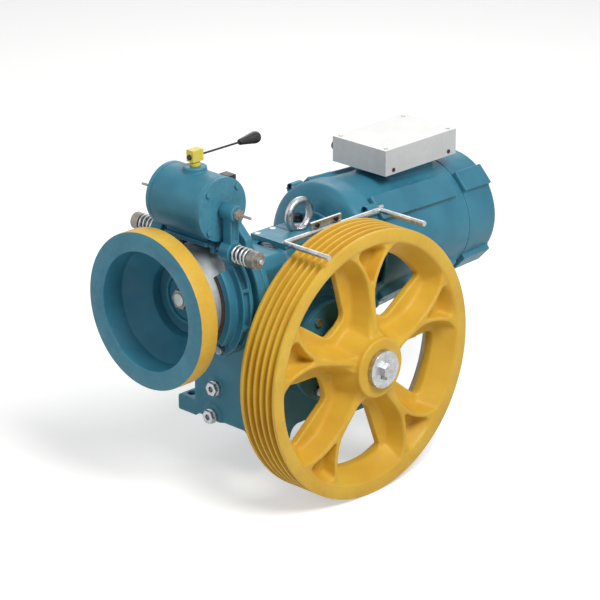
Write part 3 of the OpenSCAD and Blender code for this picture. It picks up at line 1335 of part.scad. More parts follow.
at_axes() gear_housing();
at_axes() top_cover();
at_axes() bearing_flange();
at_axes() far_cover();
at_axes() casing_bolts();
at_axes() shaft_bearings();
at_axes() worm_bearings();
at_axes() shaft_seal();
at_axes() oil_plugs();
at_axes() filler_cap();
at_axes() lifting_eye();
at_axes() guard_rod();
at_axes() guard_bar();
at_axes() guard_bolts();
at_axes() brake_carrier();
at_axes() pivot_pins();
at_axes() tie_rod();
at_axes() spring_cups();
at_axes() right_spring();
at_axes() left_spring();
at_axes() magnet_housing();
at_axes() magnet_covers();
at_axes() magnet_bolts();
at_axes() magnet_coil();
at_axes() magnet_plug();
at_axes() motor_bell();
at_axes() motor_frame();
at_axes() stator();
at_axes() fan_cowl();
at_axes() motor_bolts();
at_axes() terminal_base();
at_axes() terminal_cover();
at_axes() terminal_screws();
at_axes() terminal_block();
at_axes() cable_gland();
at_axes() slow_shaft();
at_axes() wheel_hub();
at_axes() worm_wheel();
at_axes() sheave();
at_axes() shaft_keys();
at_axes() end_cap();
at_axes() end_cap_bolt();
at_axes() worm_shaft();
at_axes() brake_drum();
at_axes() handwheel();
at_axes() handwheel_nut();
at_axes() coupling();
at_axes() motor_rotor();
at_axes() cooling_fan();
at_axes() right_arm();
at_axes() right_lining();
at_axes() right_screw();
at_axes() left_arm();
at_axes() left_lining();
at_axes() left_screw();
at_axes() right_plunger();
at_axes() left_plunger();
at_axes() release_lever();
at_axes() release_rod();
at_axes() release_knob();
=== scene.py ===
# Elevator traction machine: finishes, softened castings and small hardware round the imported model
import json
from math import cos, pi, radians, sin

import bmesh
import bpy
from mathutils import Matrix, Vector


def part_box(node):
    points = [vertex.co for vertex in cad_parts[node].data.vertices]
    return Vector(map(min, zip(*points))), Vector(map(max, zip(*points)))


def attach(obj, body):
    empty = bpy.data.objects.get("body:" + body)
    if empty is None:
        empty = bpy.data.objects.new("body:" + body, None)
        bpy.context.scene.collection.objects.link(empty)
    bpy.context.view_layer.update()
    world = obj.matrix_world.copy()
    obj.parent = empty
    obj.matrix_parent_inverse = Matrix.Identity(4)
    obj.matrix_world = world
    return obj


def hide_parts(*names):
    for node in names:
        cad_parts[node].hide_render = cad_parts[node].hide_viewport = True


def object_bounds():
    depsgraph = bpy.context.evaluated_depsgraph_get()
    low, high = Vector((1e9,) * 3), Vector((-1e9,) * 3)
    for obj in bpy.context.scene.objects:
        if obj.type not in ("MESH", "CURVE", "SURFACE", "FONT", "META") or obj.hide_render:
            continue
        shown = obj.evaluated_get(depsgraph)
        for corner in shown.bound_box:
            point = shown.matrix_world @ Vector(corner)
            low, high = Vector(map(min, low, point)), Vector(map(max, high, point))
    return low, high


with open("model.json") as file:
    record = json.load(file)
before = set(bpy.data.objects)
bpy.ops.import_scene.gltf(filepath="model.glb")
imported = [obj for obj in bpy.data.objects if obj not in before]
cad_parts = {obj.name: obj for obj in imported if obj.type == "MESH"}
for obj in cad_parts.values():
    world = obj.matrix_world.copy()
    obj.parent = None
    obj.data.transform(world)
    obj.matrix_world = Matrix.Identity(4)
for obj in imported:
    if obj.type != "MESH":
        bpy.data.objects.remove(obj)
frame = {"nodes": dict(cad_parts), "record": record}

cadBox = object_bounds()
mm = 0.001
record = frame["record"]
bodyOf = {node: body for body, nodes in record["behaviour"]["bodies"].items() for node in nodes}
slotOf = {part["node"]: part["material_slot"] for part in record["subparts"]}


def middle(node):
    low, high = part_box(node)
    return (low + high) / 2


wormAxis = middle("handwheel")          # the worm shaft runs along Y through this x and z
shaftAxis = middle("sheave")            # the sheave shaft runs along X through this y and z


def toLinear(hexColour):
    parts = [int(hexColour[i:i + 2], 16) / 255 for i in (1, 3, 5)]
    return tuple(c / 12.92 if c <= 0.04045 else ((c + 0.055) / 1.055) ** 2.4 for c in parts) + (1,)


def addNode(tree, kind, inputs=None, **settings):     # an input is a value, a socket or a node
    node = tree.nodes.new(kind)
    for key, value in settings.items():
        setattr(node, key, value)
    for key, value in (inputs or {}).items():
        if isinstance(value, bpy.types.Node):
            value = value.outputs[0]
        if isinstance(value, bpy.types.NodeSocket):
            tree.links.new(value, node.inputs[key])
        else:
            node.inputs[key].default_value = value
    return node


# place in metres, angles in degrees, lens in mm
cameraSetup = {
    "place": (3.75109, -3.76258, 2.25739),
    "azimuth": 44.37,
    "elevation": 20.95,
    "roll": -0.16,
    "lens": 177.6,
    "farthest": 50,
}


def addCamera(setup):
    azimuth, elevation, roll = (radians(setup[k]) for k in ("azimuth", "elevation", "roll"))
    back = Vector((sin(azimuth) * cos(elevation), -cos(azimuth) * cos(elevation), sin(elevation)))
    right = Vector((cos(azimuth), sin(azimuth), 0))
    up = back.cross(right)
    sideways = right * cos(roll) + up * sin(roll)
    upwards = up * cos(roll) - right * sin(roll)
    data = bpy.data.cameras.new("camera")
    data.lens = setup["lens"]
    data.clip_end = setup["farthest"]
    camera = bpy.data.objects.new("camera", data)
    turn = Matrix((sideways, upwards, back)).transposed().to_4x4()
    camera.matrix_world = Matrix.Translation(setup["place"]) @ turn
    bpy.context.scene.collection.objects.link(camera)
    bpy.context.scene.camera = camera


# direction from the machine, distance, width, and the level that it gives a face turned to it
lampSetup = {
    "key": ((0.66, -0.16, 0.80), 3.2, 1.5, 0.72),
    "front": ((-0.35, -0.90, 0.45), 3.4, 2.2, 0.13),
    "rear": ((-0.55, 0.65, 0.70), 3.2, 1.8, 0.20),
}
lampAim = Vector((0, 0, 0.2))           # about the machine's middle
studio = {"sky": ("#f4f6f8", 0.33), "backdrop": "#ffffff", "floor": "#e6e6e4", "glow": 0.45, "half": 8}


def addLamp(name, direction, distance, width, level):
    data = bpy.data.lights.new(name, "AREA")
    data.shape = "DISK"
    data.size = width
    data.energy = level * (pi * distance) ** 2
    lamp = bpy.data.objects.new(name, data)
    away = Vector(direction).normalized()
    turn = away.to_track_quat("Z", "Y").to_matrix().to_4x4()
    lamp.matrix_world = Matrix.Translation(away * distance + lampAim) @ turn
    bpy.context.scene.collection.objects.link(lamp)


def seenDirectly(tree):                  # one for camera, glossy and transmission rays, else none
    path = addNode(tree, "ShaderNodeLightPath")
    shiny = addNode(tree, "ShaderNodeMath", {0: path.outputs["Is Camera Ray"],
                                             1: path.outputs["Is Glossy Ray"]}, operation="ADD")
    return addNode(tree, "ShaderNodeMath", {0: shiny, 1: path.outputs["Is Transmission Ray"]},
                   operation="ADD", use_clamp=True)


def addSky(s):
    world = bpy.data.worlds.new("studio")
    bpy.context.scene.world = world
    world.use_nodes = True
    tree = world.node_tree
    tree.nodes.clear()
    colour, strength = s["sky"]
    light = addNode(tree, "ShaderNodeBackground", {"Color": toLinear(colour), "Strength": strength})
    backdrop = addNode(tree, "ShaderNodeBackground", {"Color": toLinear(s["backdrop"]), "Strength": 1})
    mix = addNode(tree, "ShaderNodeMixShader", {0: seenDirectly(tree), 1: light, 2: backdrop})
    addNode(tree, "ShaderNodeOutputWorld", {"Surface": mix})


def addFloor(s):
    bm = bmesh.new()
    bmesh.ops.create_grid(bm, x_segments=1, y_segments=1, size=s["half"])
    bmesh.ops.translate(bm, verts=bm.verts, vec=(0, 0, cadBox[0].z - 1 * mm))
    mesh = bpy.data.meshes.new("floor")
    bm.to_mesh(mesh)
    bm.free()
    floor = bpy.data.objects.new("floor", mesh)
    bpy.context.scene.collection.objects.link(floor)
    material = bpy.data.materials.new("pale_floor")
    material.use_nodes = True
    tree = material.node_tree
    tree.nodes.clear()
    matt = addNode(tree, "ShaderNodeBsdfDiffuse", {"Color": toLinear(s["floor"]), "Roughness": 0.6})
    glow = addNode(tree, "ShaderNodeEmission", {"Color": toLinear("#ffffff"), "Strength": s["glow"]})
    lit = addNode(tree, "ShaderNodeAddShader", {0: matt, 1: glow})
    mix = addNode(tree, "ShaderNodeMixShader", {0: seenDirectly(tree), 1: matt, 2: lit})
    addNode(tree, "ShaderNodeOutputMaterial", {"Surface": mix})
    mesh.materials.append(material)


addCamera(cameraSetup)
for lampName, setup in lampSetup.items():
    addLamp(lampName, *setup)
addSky(studio)
addFloor(studio)
bpy.context.scene.view_settings.view_transform = "Standard"
print("camera, lamps and floor")


def startMaterial(name):
    material = bpy.data.materials.new(name)
    material.use_nodes = True
    tree = material.node_tree
    tree.nodes.clear()
    return material, tree, addNode(tree, "ShaderNodeTexCoord").outputs["Object"]


def endMaterial(tree, colour, roughness, height, strength, distance, **sockets):
    bump = addNode(tree, "ShaderNodeBump", {"Height": height, "Strength": strength, "Distance": distance})
    inputs = {"Base Color": colour, "Roughness": roughness, "Normal": bump}
    inputs.update({key.replace("_", " "): value for key, value in sockets.items()})
    shader = addNode(tree, "ShaderNodeBsdfPrincipled", inputs)
    addNode(tree, "ShaderNodeOutputMaterial", {"Surface": shader})


enamels = {
    # alkyd machine enamel sprayed over sand-cast iron: soft gloss, the casting's grain, pale edges that are
    # partly worn paint and partly painted highlight, and painted shade in the hollows
    "teal_paint": {"light": "#3d8299", "dark": "#33748b", "edge": "#649eb0", "hollow_shade": "#1b4556",
                   "gloss": (0.36, 0.5), "grain": 3.2 * mm, "depth": 0.35 * mm},
    "yellow_paint": {"light": "#dcb13b", "dark": "#d3a333", "edge": "#e4c65e", "hollow_shade": "#ad781d",
                     "gloss": (0.4, 0.54), "grain": 2.8 * mm, "depth": 0.25 * mm},
    # lemon-yellow enamel brushed on the small clevis
    "lemon_paint": {"light": "#dccb47", "dark": "#cfbb3a", "edge": "#e8dc78", "hollow_shade": "#8f7c22",
                    "gloss": (0.34, 0.46), "grain": 1.8 * mm, "depth": 0.15 * mm},
    # polyester powder coat on folded sheet: even, with a fine orange peel; white_paint and the lighter copy
    # below are lit and shaded copies of one white, painted light on the top and painted shade on the sides
    "white_paint": {"light": "#c6c7c8", "dark": "#bfc0c1", "edge": "#d4d5d5", "hollow_shade": "#9b9b9a",
                    "gloss": (0.42, 0.5), "grain": 1.6 * mm, "depth": 0.08 * mm},
    "lit_top_white": {"light": "#f1f1ef", "dark": "#ebebe9", "edge": "#f6f6f4", "hollow_shade": "#c9c9c6",
                  "gloss": (0.42, 0.5), "grain": 1.6 * mm, "depth": 0.08 * mm},
}


# mm sizes that all enamels share: clouds of colour, spots that break up the pale edges (worn paint and painted
# highlight) and drifts of gloss
paintPattern = {"cloud": 70 * mm, "wear_and_highlight_spots": 9 * mm, "sheen": 24 * mm}


def enamel(name, look):
    material, tree, coords = startMaterial(name)
    cloud = addNode(tree, "ShaderNodeTexNoise", {"Vector": coords, "Scale": 1 / paintPattern["cloud"],
                                                 "Detail": 2})
    cloudy = addNode(tree, "ShaderNodeMapRange", {"Value": cloud, "From Min": 0.35, "From Max": 0.65})
    tint = addNode(tree, "ShaderNodeMix", {0: cloudy, 6: toLinear(look["dark"]), 7: toLinear(look["light"])},
                   data_type="RGBA")
    # painted shade: where the surface curves inwards (low pointiness) the paint is mixed towards its darker
    # hollow colour, orange on the yellow like bounced light
    point = addNode(tree, "ShaderNodeNewGeometry").outputs["Pointiness"]
    shaded_hollow = addNode(tree, "ShaderNodeMapRange", {"Value": point, "From Min": 0.488, "From Max": 0.44,
                                                  "To Min": 0, "To Max": 0.5})
    tint = addNode(tree, "ShaderNodeMix", {0: shaded_hollow, 6: tint.outputs[2], 7: toLinear(look["hollow_shade"])},
                   data_type="RGBA")
    # partly painted highlight, partly wear: convex edges (high pointiness) are mixed in patches towards a
    # lighter tint of the same paint
    ridge = addNode(tree, "ShaderNodeMapRange", {"Value": point, "From Min": 0.515, "From Max": 0.56,
                                                 "To Min": 0, "To Max": 0.45})
    patch = addNode(tree, "ShaderNodeTexNoise", {"Vector": coords, "Scale": 1 / paintPattern["wear_and_highlight_spots"],
                                                 "Detail": 4})
    patchy = addNode(tree, "ShaderNodeMapRange", {"Value": patch, "From Min": 0.35, "From Max": 0.65,
                                                  "To Min": 0.35, "To Max": 1})
    worn_and_highlit_edges = addNode(tree, "ShaderNodeMath", {0: ridge, 1: patchy}, operation="MULTIPLY")
    tint = addNode(tree, "ShaderNodeMix", {0: worn_and_highlit_edges, 6: tint.outputs[2], 7: toLinear(look["edge"])},
                   data_type="RGBA")
    sheen = addNode(tree, "ShaderNodeTexNoise", {"Vector": coords, "Scale": 1 / paintPattern["sheen"],
                                                 "Detail": 4})
    smoothest, dullest = look["gloss"]
    gloss = addNode(tree, "ShaderNodeMapRange", {"Value": sheen, "From Min": 0.3, "From Max": 0.7,
                                                 "To Min": smoothest, "To Max": dullest})
    casting = addNode(tree, "ShaderNodeTexNoise", {"Vector": coords, "Scale": 1 / look["grain"], "Detail": 3})
    peel = addNode(tree, "ShaderNodeTexNoise", {"Vector": coords, "Scale": 1 / (look["grain"] * 4),
                                                "Detail": 1})
    height = addNode(tree, "ShaderNodeMath", {0: casting, 1: peel}, operation="ADD")
    endMaterial(tree, tint.outputs[2], gloss, height, 0.35, look["depth"], IOR=1.5, Specular_IOR_Level=0.32)
    return material


# "lines" stretches the grain, and a small number draws it out along that axis
metals = {
    # zinc plate on steel: pale, bluish, slightly cloudy
    "steel": {"light": "#c9cbcc", "dark": "#a6a8aa", "rough": (0.3, 0.46), "lines": (1, 1, 1),
              "grain": 5 * mm},
    # cast iron turned on a lathe: fine rings round the worm shaft, drawn 1.4 mm apart so that they show
    "ground_iron": {"light": "#dddedd", "dark": "#c6c7c7", "rough": (0.5, 0.62), "lines": (0.02, 1, 0.02),
                    "grain": 1.4 * mm},
    # zinc plate gone dull and greyish brown, on the spring cups and the shaft's nut
    "dull_steel": {"light": "#a5a19b", "dark": "#84807a", "rough": (0.5, 0.64), "lines": (1, 1, 1),
                   "grain": 3 * mm},
    # black cast iron, as cast
    "raw_iron": {"light": "#56585a", "dark": "#3e3f41", "rough": (0.6, 0.75), "lines": (1, 1, 1),
                 "grain": 3 * mm},
    # stacked electrical sheet, drawn at 2 mm so that the edges of the sheets show
    "laminations": {"light": "#8d9092", "dark": "#5d5f61", "rough": (0.45, 0.6), "lines": (0.01, 1, 0.01),
                    "grain": 2 * mm},
    # tin bronze, machined
    "bronze": {"light": "#c79a55", "dark": "#a97c3c", "rough": (0.32, 0.45), "lines": (1, 1, 1),
               "grain": 4 * mm},
    # enamelled copper wire
    "copper": {"light": "#b0623a", "dark": "#8f4a28", "rough": (0.3, 0.42), "lines": (1, 0.1, 0.1),
               "grain": 1.5 * mm},
    # blackened steel of the small screws
    "black_steel": {"light": "#4b4d50", "dark": "#303235", "rough": (0.4, 0.55), "lines": (1, 1, 1),
                    "grain": 2 * mm},
}


metalCloud = 18 * mm


def metal(name, look):
    material, tree, coords = startMaterial(name)
    cloud = addNode(tree, "ShaderNodeTexNoise", {"Vector": coords, "Scale": 1 / metalCloud, "Detail": 4})
    drawn = addNode(tree, "ShaderNodeMapping", {"Vector": coords, "Scale": look["lines"]})
    lines = addNode(tree, "ShaderNodeTexNoise", {"Vector": drawn, "Scale": 1 / look["grain"], "Detail": 2})
    both = addNode(tree, "ShaderNodeMath", {0: cloud, 1: lines}, operation="ADD")
    share = addNode(tree, "ShaderNodeMapRange", {"Value": both, "From Min": 0.75, "From Max": 1.25})
    tint = addNode(tree, "ShaderNodeMix", {0: share, 6: toLinear(look["dark"]), 7: toLinear(look["light"])},
                   data_type="RGBA")
    smoothest, dullest = look["rough"]
    rough = addNode(tree, "ShaderNodeMapRange", {"Value": lines, "From Min": 0.3, "From Max": 0.7,
                                                 "To Min": smoothest, "To Max": dullest})
    endMaterial(tree, tint.outputs[2], rough, lines, 0.25, 0.08 * mm, Metallic=1.0)
    return material


plastics = {
    # phenolic knob and plug bodies: moulded, slightly glossy, with handling marks
    "black_plastic": {"light": "#1b1c1e", "dark": "#101112", "rough": (0.3, 0.5), "grain": 4 * mm,
                      "depth": 0.05 * mm},
    # nitrile rubber of the seals
    "rubber": {"light": "#232323", "dark": "#161616", "rough": (0.65, 0.8), "grain": 2 * mm,
               "depth": 0.15 * mm},
    # woven and pressed brake lining with brass flecks
    "friction_lining": {"light": "#5b4b3f", "dark": "#33302d", "rough": (0.75, 0.9), "grain": 2.5 * mm,
                        "depth": 0.3 * mm},
}


handlingMarks = 12 * mm


def plastic(name, look):
    material, tree, coords = startMaterial(name)
    fleck = addNode(tree, "ShaderNodeTexNoise", {"Vector": coords, "Scale": 1 / look["grain"], "Detail": 5})
    share = addNode(tree, "ShaderNodeMapRange", {"Value": fleck, "From Min": 0.4, "From Max": 0.6})
    tint = addNode(tree, "ShaderNodeMix", {0: share, 6: toLinear(look["dark"]), 7: toLinear(look["light"])},
                   data_type="RGBA")
    marks = addNode(tree, "ShaderNodeTexNoise", {"Vector": coords, "Scale": 1 / handlingMarks, "Detail": 3})
    smoothest, dullest = look["rough"]
    rough = addNode(tree, "ShaderNodeMapRange", {"Value": marks, "From Min": 0.3, "From Max": 0.7,
                                                 "To Min": smoothest, "To Max": dullest})
    endMaterial(tree, tint.outputs[2], rough, fleck, 0.3, look["depth"], IOR=1.5)
    return material


finishes = {name: enamel(name, look) for name, look in enamels.items()}
finishes.update({name: metal(name, look) for name, look in metals.items()})
finishes.update({name: plastic(name, look) for name, look in plastics.items()})
for name, node in frame["nodes"].items():
    for materialSlot in node.material_slots:
        materialSlot.material = finishes[slotOf[name]]
print("finishes:", len(finishes))


def newPiece(name, bm, node, sharp=34, extra=()):     # rides, replaces and takes its finish as its CAD node
    mesh = bpy.data.meshes.new(name)
    bmesh.ops.recalc_face_normals(bm, faces=bm.faces)
    bm.to_mesh(mesh)
    bm.free()
    piece = bpy.data.objects.new(name, mesh)
    bpy.context.scene.collection.objects.link(piece)
    for finish in (slotOf[node], *extra):
        mesh.materials.append(finishes[finish])
    mesh.shade_smooth()
    mesh.set_sharp_from_angle(angle=radians(sharp))
    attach(piece, bodyOf[node])
    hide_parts(node)
    return piece


def nodeMesh(node):
    bm = bmesh.new()
    bm.from_mesh(frame["nodes"][node].data)
    bmesh.ops.remove_doubles(bm, verts=bm.verts, dist=0.001 * mm)
    return bm


# voxel size and smoothing passes: larger numbers give rounder edges
castings = {
    "gear_housing": (2.8, 4),
    "brake_carrier": (1.9, 4),
    "magnet_housing": (1.6, 3),
    "motor_bell": (2.1, 4),
    "motor_frame": (2.5, 4),
    "fan_cowl": (1.9, 3),
    "right_arm": (1.3, 4),
    "left_arm": (1.3, 4),
    "lifting_eye": (0.8, 4),
}


def roughObject(name, bm):
    mesh = bpy.data.meshes.new(name)
    bm.to_mesh(mesh)
    bm.free()
    rough = bpy.data.objects.new(name, mesh)
    bpy.context.scene.collection.objects.link(rough)
    return rough


# rounds every edge of a closed shape; a cutter's forms are cut out of it first
def rounded(name, bm, voxel, passes, cutter=None):
    rough = roughObject(name + "_rough", bm)
    if cutter:
        knife = roughObject(name + "_cutter", cutter)
        union = rough.modifiers.new("union", "REMESH")
        union.mode = "VOXEL"
        union.voxel_size = voxel * mm
        cut = rough.modifiers.new("cut", "BOOLEAN")
        cut.object = knife
        cut.solver = "EXACT"
    remesh = rough.modifiers.new("remesh", "REMESH")
    remesh.mode = "VOXEL"
    remesh.voxel_size = voxel * mm
    result = bpy.data.meshes.new_from_object(rough.evaluated_get(bpy.context.evaluated_depsgraph_get()))
    bpy.data.objects.remove(rough)
    if cutter:
        bpy.data.objects.remove(knife)
    bm = bmesh.new()
    bm.from_mesh(result)
    bpy.data.meshes.remove(result)
    for _ in range(passes):
        bmesh.ops.smooth_vert(bm, verts=bm.verts, factor=0.5, use_axis_x=True, use_axis_y=True,
                              use_axis_z=True)
    return bm


for node, (voxel, passes) in castings.items():
    bm = rounded(node, nodeMesh(node), voxel, passes)
    print(node, len(bm.faces) * 2, "triangles")
    newPiece(node + "_cast", bm, node, sharp=70)
print("castings")

# width of the edges' rounding in mm
machined = {
    "top_cover": 1.5, "bearing_flange": 1.5, "far_cover": 1.5, "casing_bolts": 0.6, "oil_plugs": 0.7,
    "filler_cap": 0.8, "guard_bar": 0.6, "guard_bolts": 0.4, "spring_cups": 1.0, "magnet_covers": 1.4,
    "magnet_bolts": 0.5, "magnet_plug": 1.2, "motor_bolts": 0.7, "terminal_base": 0.5, "terminal_screws": 0.5,
    "cable_gland": 0.6, "end_cap": 1.0, "end_cap_bolt": 0.8, "brake_drum": 1.0, "handwheel_nut": 0.8,
    "right_screw": 0.6, "left_screw": 0.6, "release_lever": 0.9, "tie_rod": 0.8, "pivot_pins": 0.8,
    "release_rod": 0.4,
}


flattest, sharpest = radians(0.4), radians(38)   # faces nearly flat are joined, edges over this are rounded


def beveled(node, width):
    bm = nodeMesh(node)
    bmesh.ops.dissolve_limit(bm, angle_limit=flattest, verts=bm.verts, edges=bm.edges)
    sharpEdges = [e for e in bm.edges if len(e.link_faces) == 2 and e.calc_face_angle() > sharpest]
    bmesh.ops.bevel(bm, geom=sharpEdges, offset=width * mm, offset_type="OFFSET", affect="EDGES", segments=2,
                    profile=0.5, material=-1, clamp_overlap=True)
    return bm


# pieces whose finish isn't their material slot's
ownFinish = {
    "spring_cups": "dull_steel", "handwheel_nut": "dull_steel", "release_lever": "lemon_paint",
    "magnet_bolts": "teal_paint", "release_rod": "black_steel", "right_screw": "dull_steel",
    "left_screw": "dull_steel", "terminal_screws": "black_steel", "guard_bolts": "black_steel",
}

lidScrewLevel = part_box("terminal_cover")[1].z - 8 * mm     # above it the box's screws are bright, below black
for node, width in machined.items():
    bm = beveled(node, width)
    own = [ownFinish[node]] if node in ownFinish else []
    for face in bm.faces:
        onLid = node == "terminal_screws" and face.calc_center_median().z > lidScrewLevel
        face.material_index = 1 if own and not onLid else 0
    piece = newPiece(node + "_edges", bm, node, sharp=50, extra=own)
    piece.modifiers.new("normals", "WEIGHTED_NORMAL").keep_sharp = True
print("machined parts")


def turned(profile, steps=160):          # turns (radius, depth) round Z; depth runs along Z
    bm = bmesh.new()
    verts = [bm.verts.new((radius * mm, 0, depth * mm)) for radius, depth in profile]
    edges = [bm.edges.new(pair) for pair in zip(verts, verts[1:] + verts[:1])]
    bmesh.ops.spin(bm, geom=verts + edges, cent=(0, 0, 0), axis=(0, 0, 1), angle=2 * pi, steps=steps,
                   use_merge=True, use_duplicate=False)
    return bm


# radii, depths from the front and widths in mm
handwheel = {
    "rim": 150, "width": 40.4, "mouth": 113, "mouthDepth": 46, "cup": 71, "cupDepth": 85.8, "floor": 105.8,
    "wall": 8, "bore": 12, "ring": (46, 52, 4), "round": 2.2,
}


def addHandwheel(s):
    ringIn, ringOut, ringHigh = s["ring"]
    r = s["round"]
    bm = turned([
        (s["bore"], s["floor"]), (ringIn - 1, s["floor"]), (ringIn + 0.5, s["floor"] - ringHigh),
        (ringOut - 0.5, s["floor"] - ringHigh), (ringOut + 1, s["floor"]), (s["cup"] - 3, s["floor"]),
        (s["cup"] - 0.8, s["floor"] - 1), (s["cup"], s["floor"] - 3.5), (s["cup"], s["cupDepth"] + 2),
        (s["cup"] + 1.6, s["cupDepth"] - 1), (s["mouth"] - 2, s["mouthDepth"] + 2),
        (s["mouth"], s["mouthDepth"] - 1.5), (s["mouth"], r), (s["mouth"] + r * 0.3, r * 0.3),
        (s["mouth"] + r, 0),
        (s["rim"] - r, 0), (s["rim"] - r * 0.3, r * 0.3), (s["rim"], r), (s["rim"], s["width"] - r),
        (s["rim"] - r * 0.3, s["width"] - r * 0.3), (s["rim"] - r, s["width"]),
        (s["mouth"] + s["wall"] + 6, s["width"]), (s["mouth"] + s["wall"] + 1, s["width"] + 3),
        (s["cup"] + s["wall"], s["cupDepth"] + 6), (s["cup"] + s["wall"], s["floor"] + s["wall"]),
        (s["bore"], s["floor"] + s["wall"])], 192)
    bmesh.ops.rotate(bm, verts=bm.verts, cent=(0, 0, 0), matrix=Matrix.Rotation(radians(-90), 3, "X"))
    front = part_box("handwheel")[0].y
    bmesh.ops.translate(bm, verts=bm.verts, vec=(wormAxis.x, front, wormAxis.z))
    for face in bm.faces:
        spot = face.calc_center_median()
        out = (Vector((spot.x, 0, spot.z)) - Vector((wormAxis.x, 0, wormAxis.z))).length
        face.material_index = 1 if out > (s["rim"] - 0.5) * mm else 0
    newPiece("handwheel_dished", bm, "handwheel", sharp=32, extra=["yellow_paint"])


addHandwheel(handwheel)
print("handwheel")

# the grooved rim, in mm: radii, the ropes' half width, and the undercut's half width and depth
sheave = {
    "outside": 261.5, "width": 89, "lip": 240, "grooves": 5, "pitch": 15.8, "rope": 5.2, "play": 0.4,
    "undercut": (1.5, 15), "crest": 0.9, "corner": 2, "chamfer": 0.6, "step": 0.3,
    "arc": (0, 18, 36, 54, 70),
}


def addSheave(s):
    low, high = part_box("sheave")
    outside, width, lip, crest = s["outside"], s["width"], s["lip"], s["crest"]
    corner, chamfer, step = s["corner"], s["chamfer"], s["step"]
    slotHalf, slotDeep = s["undercut"]
    bottom = outside - 1.4 * s["rope"]
    rim = s["rope"] + s["play"]
    groove = [(outside, rim + crest), (outside - step, rim + step), (outside - crest, rim)]
    groove += [(bottom - s["rope"] * sin(radians(a)), s["rope"] * cos(radians(a))) for a in s["arc"]]
    groove += [(outside - slotDeep, slotHalf)]
    profile = [(lip, step), (lip + 1.5, 0), (outside - corner, 0), (outside - 0.5, chamfer),
               (outside, corner)]
    for i in range(s["grooves"]):
        centre = width / 2 + (i - (s["grooves"] - 1) / 2) * s["pitch"]
        profile += [(radius, centre - away) for radius, away in groove]
        profile += [(radius, centre + away) for radius, away in reversed(groove)]
    profile += [(outside, width - corner), (outside - 0.5, width - chamfer), (outside - corner, width),
                (lip + 1.5, width), (lip, width - step)]
    bm = turned(profile, 224)
    bmesh.ops.rotate(bm, verts=bm.verts, cent=(0, 0, 0), matrix=Matrix.Rotation(radians(90), 3, "Y"))
    bmesh.ops.translate(bm, verts=bm.verts, vec=(low.x, shaftAxis.y, shaftAxis.z))
    newPiece("sheave_rim", bm, "sheave", sharp=40)


# (along the spoke, half width): the top edge of a forked rib, and its pocket at the top and at the floor
spoke = {
    "count": 5, "top": 86.5, "flank": 14, "sunk": 3, "past": 3,
    "edge": [(54, 17), (75, 10.5), (100, 7.5), (128, 6.5), (148, 8), (166, 13), (184, 21.5), (200, 31.5),
             (212, 42), (221, 56), (227, 74)],
    "pocketTop": [(160, 0), (163, 4), (178, 10.5), (194, 19.5), (207, 29), (217, 36.5), (226, 37),
                  (231.5, 29), (235, 15), (235.5, 0)],
    "pocketFloor": [(166, 0), (168, 2), (180, 6.5), (194, 14), (204, 20.5), (211, 25.5), (215, 24),
                    (217.5, 17), (219, 9), (219.5, 0)],
    "floor": 58, "ramp": (100, 46, 13),
}
# radii and depths of the web, hub and rim, and of the five windows between the spokes
casting = {
    "bore": 32, "hubBack": 63, "hubRoot": (69, 75), "hub": 58.7, "hubTip": 109, "hubStep": 100,
    "web": (32.5, 47.5), "rimRoot": 209, "lip": 236, "rim": 247, "width": 89, "voxel": 2.4, "passes": 3,
    "windowIn": 94, "windowRound": 22, "windowWide": 33, "cornerRound": 9, "windowAngle": 18.1,
    "step": 0.3, "windowPast": (8, 4),
}


def loft(bm, low, high):                 # a closed block between two rings of as many points
    rings = [[bm.verts.new(point) for point in ring] for ring in (low, high)]
    bm.faces.new(reversed(rings[0]))
    bm.faces.new(rings[1])
    for i in range(len(low)):
        bm.faces.new((rings[0][i - 1], rings[0][i], rings[1][i], rings[1][i - 1]))


def mirrored(half, depth):               # half an outline (along, aside) made a closed ring at its depths
    far = [(along, -aside) for along, aside in reversed(half) if aside > 0]
    return [(depth(along) * mm, aside * mm, along * mm) for along, aside in half + far]


def spread(edge, by):                    # an outline moved outwards, for the foot of a sloping flank
    moved = []
    for i, (along, aside) in enumerate(edge):
        before, after = edge[max(0, i - 1)], edge[min(len(edge) - 1, i + 1)]
        run, rise = after[0] - before[0], after[1] - before[1]
        size = (run * run + rise * rise) ** 0.5
        moved.append((along - by * rise / size, aside + by * run / size))
    return moved


def windowHalf(c):                       # half of a window: round corners, and an arc along the rim
    out = c["rimRoot"] - c["cornerRound"]
    angle = radians(c["windowAngle"]) - c["cornerRound"] / out
    aside, along = out * sin(angle), out * cos(angle)
    inner = (c["windowWide"] - c["windowRound"], c["windowIn"] + c["windowRound"])
    half = [(inner[1] - c["windowRound"] * cos(radians(a)), inner[0] + c["windowRound"] * sin(radians(a)))
            for a in range(0, 76, 15)]
    half += [(along - c["cornerRound"] * cos(radians(a)), aside + c["cornerRound"] * sin(radians(a)))
             for a in range(75, 166, 15)]
    half += [(c["rimRoot"] * cos(angle * share), c["rimRoot"] * sin(angle * share))
             for share in (0.85, 0.6, 0.3)]
    return [(c["windowIn"], 0)] + half[1:] + [(c["rimRoot"], 0)]


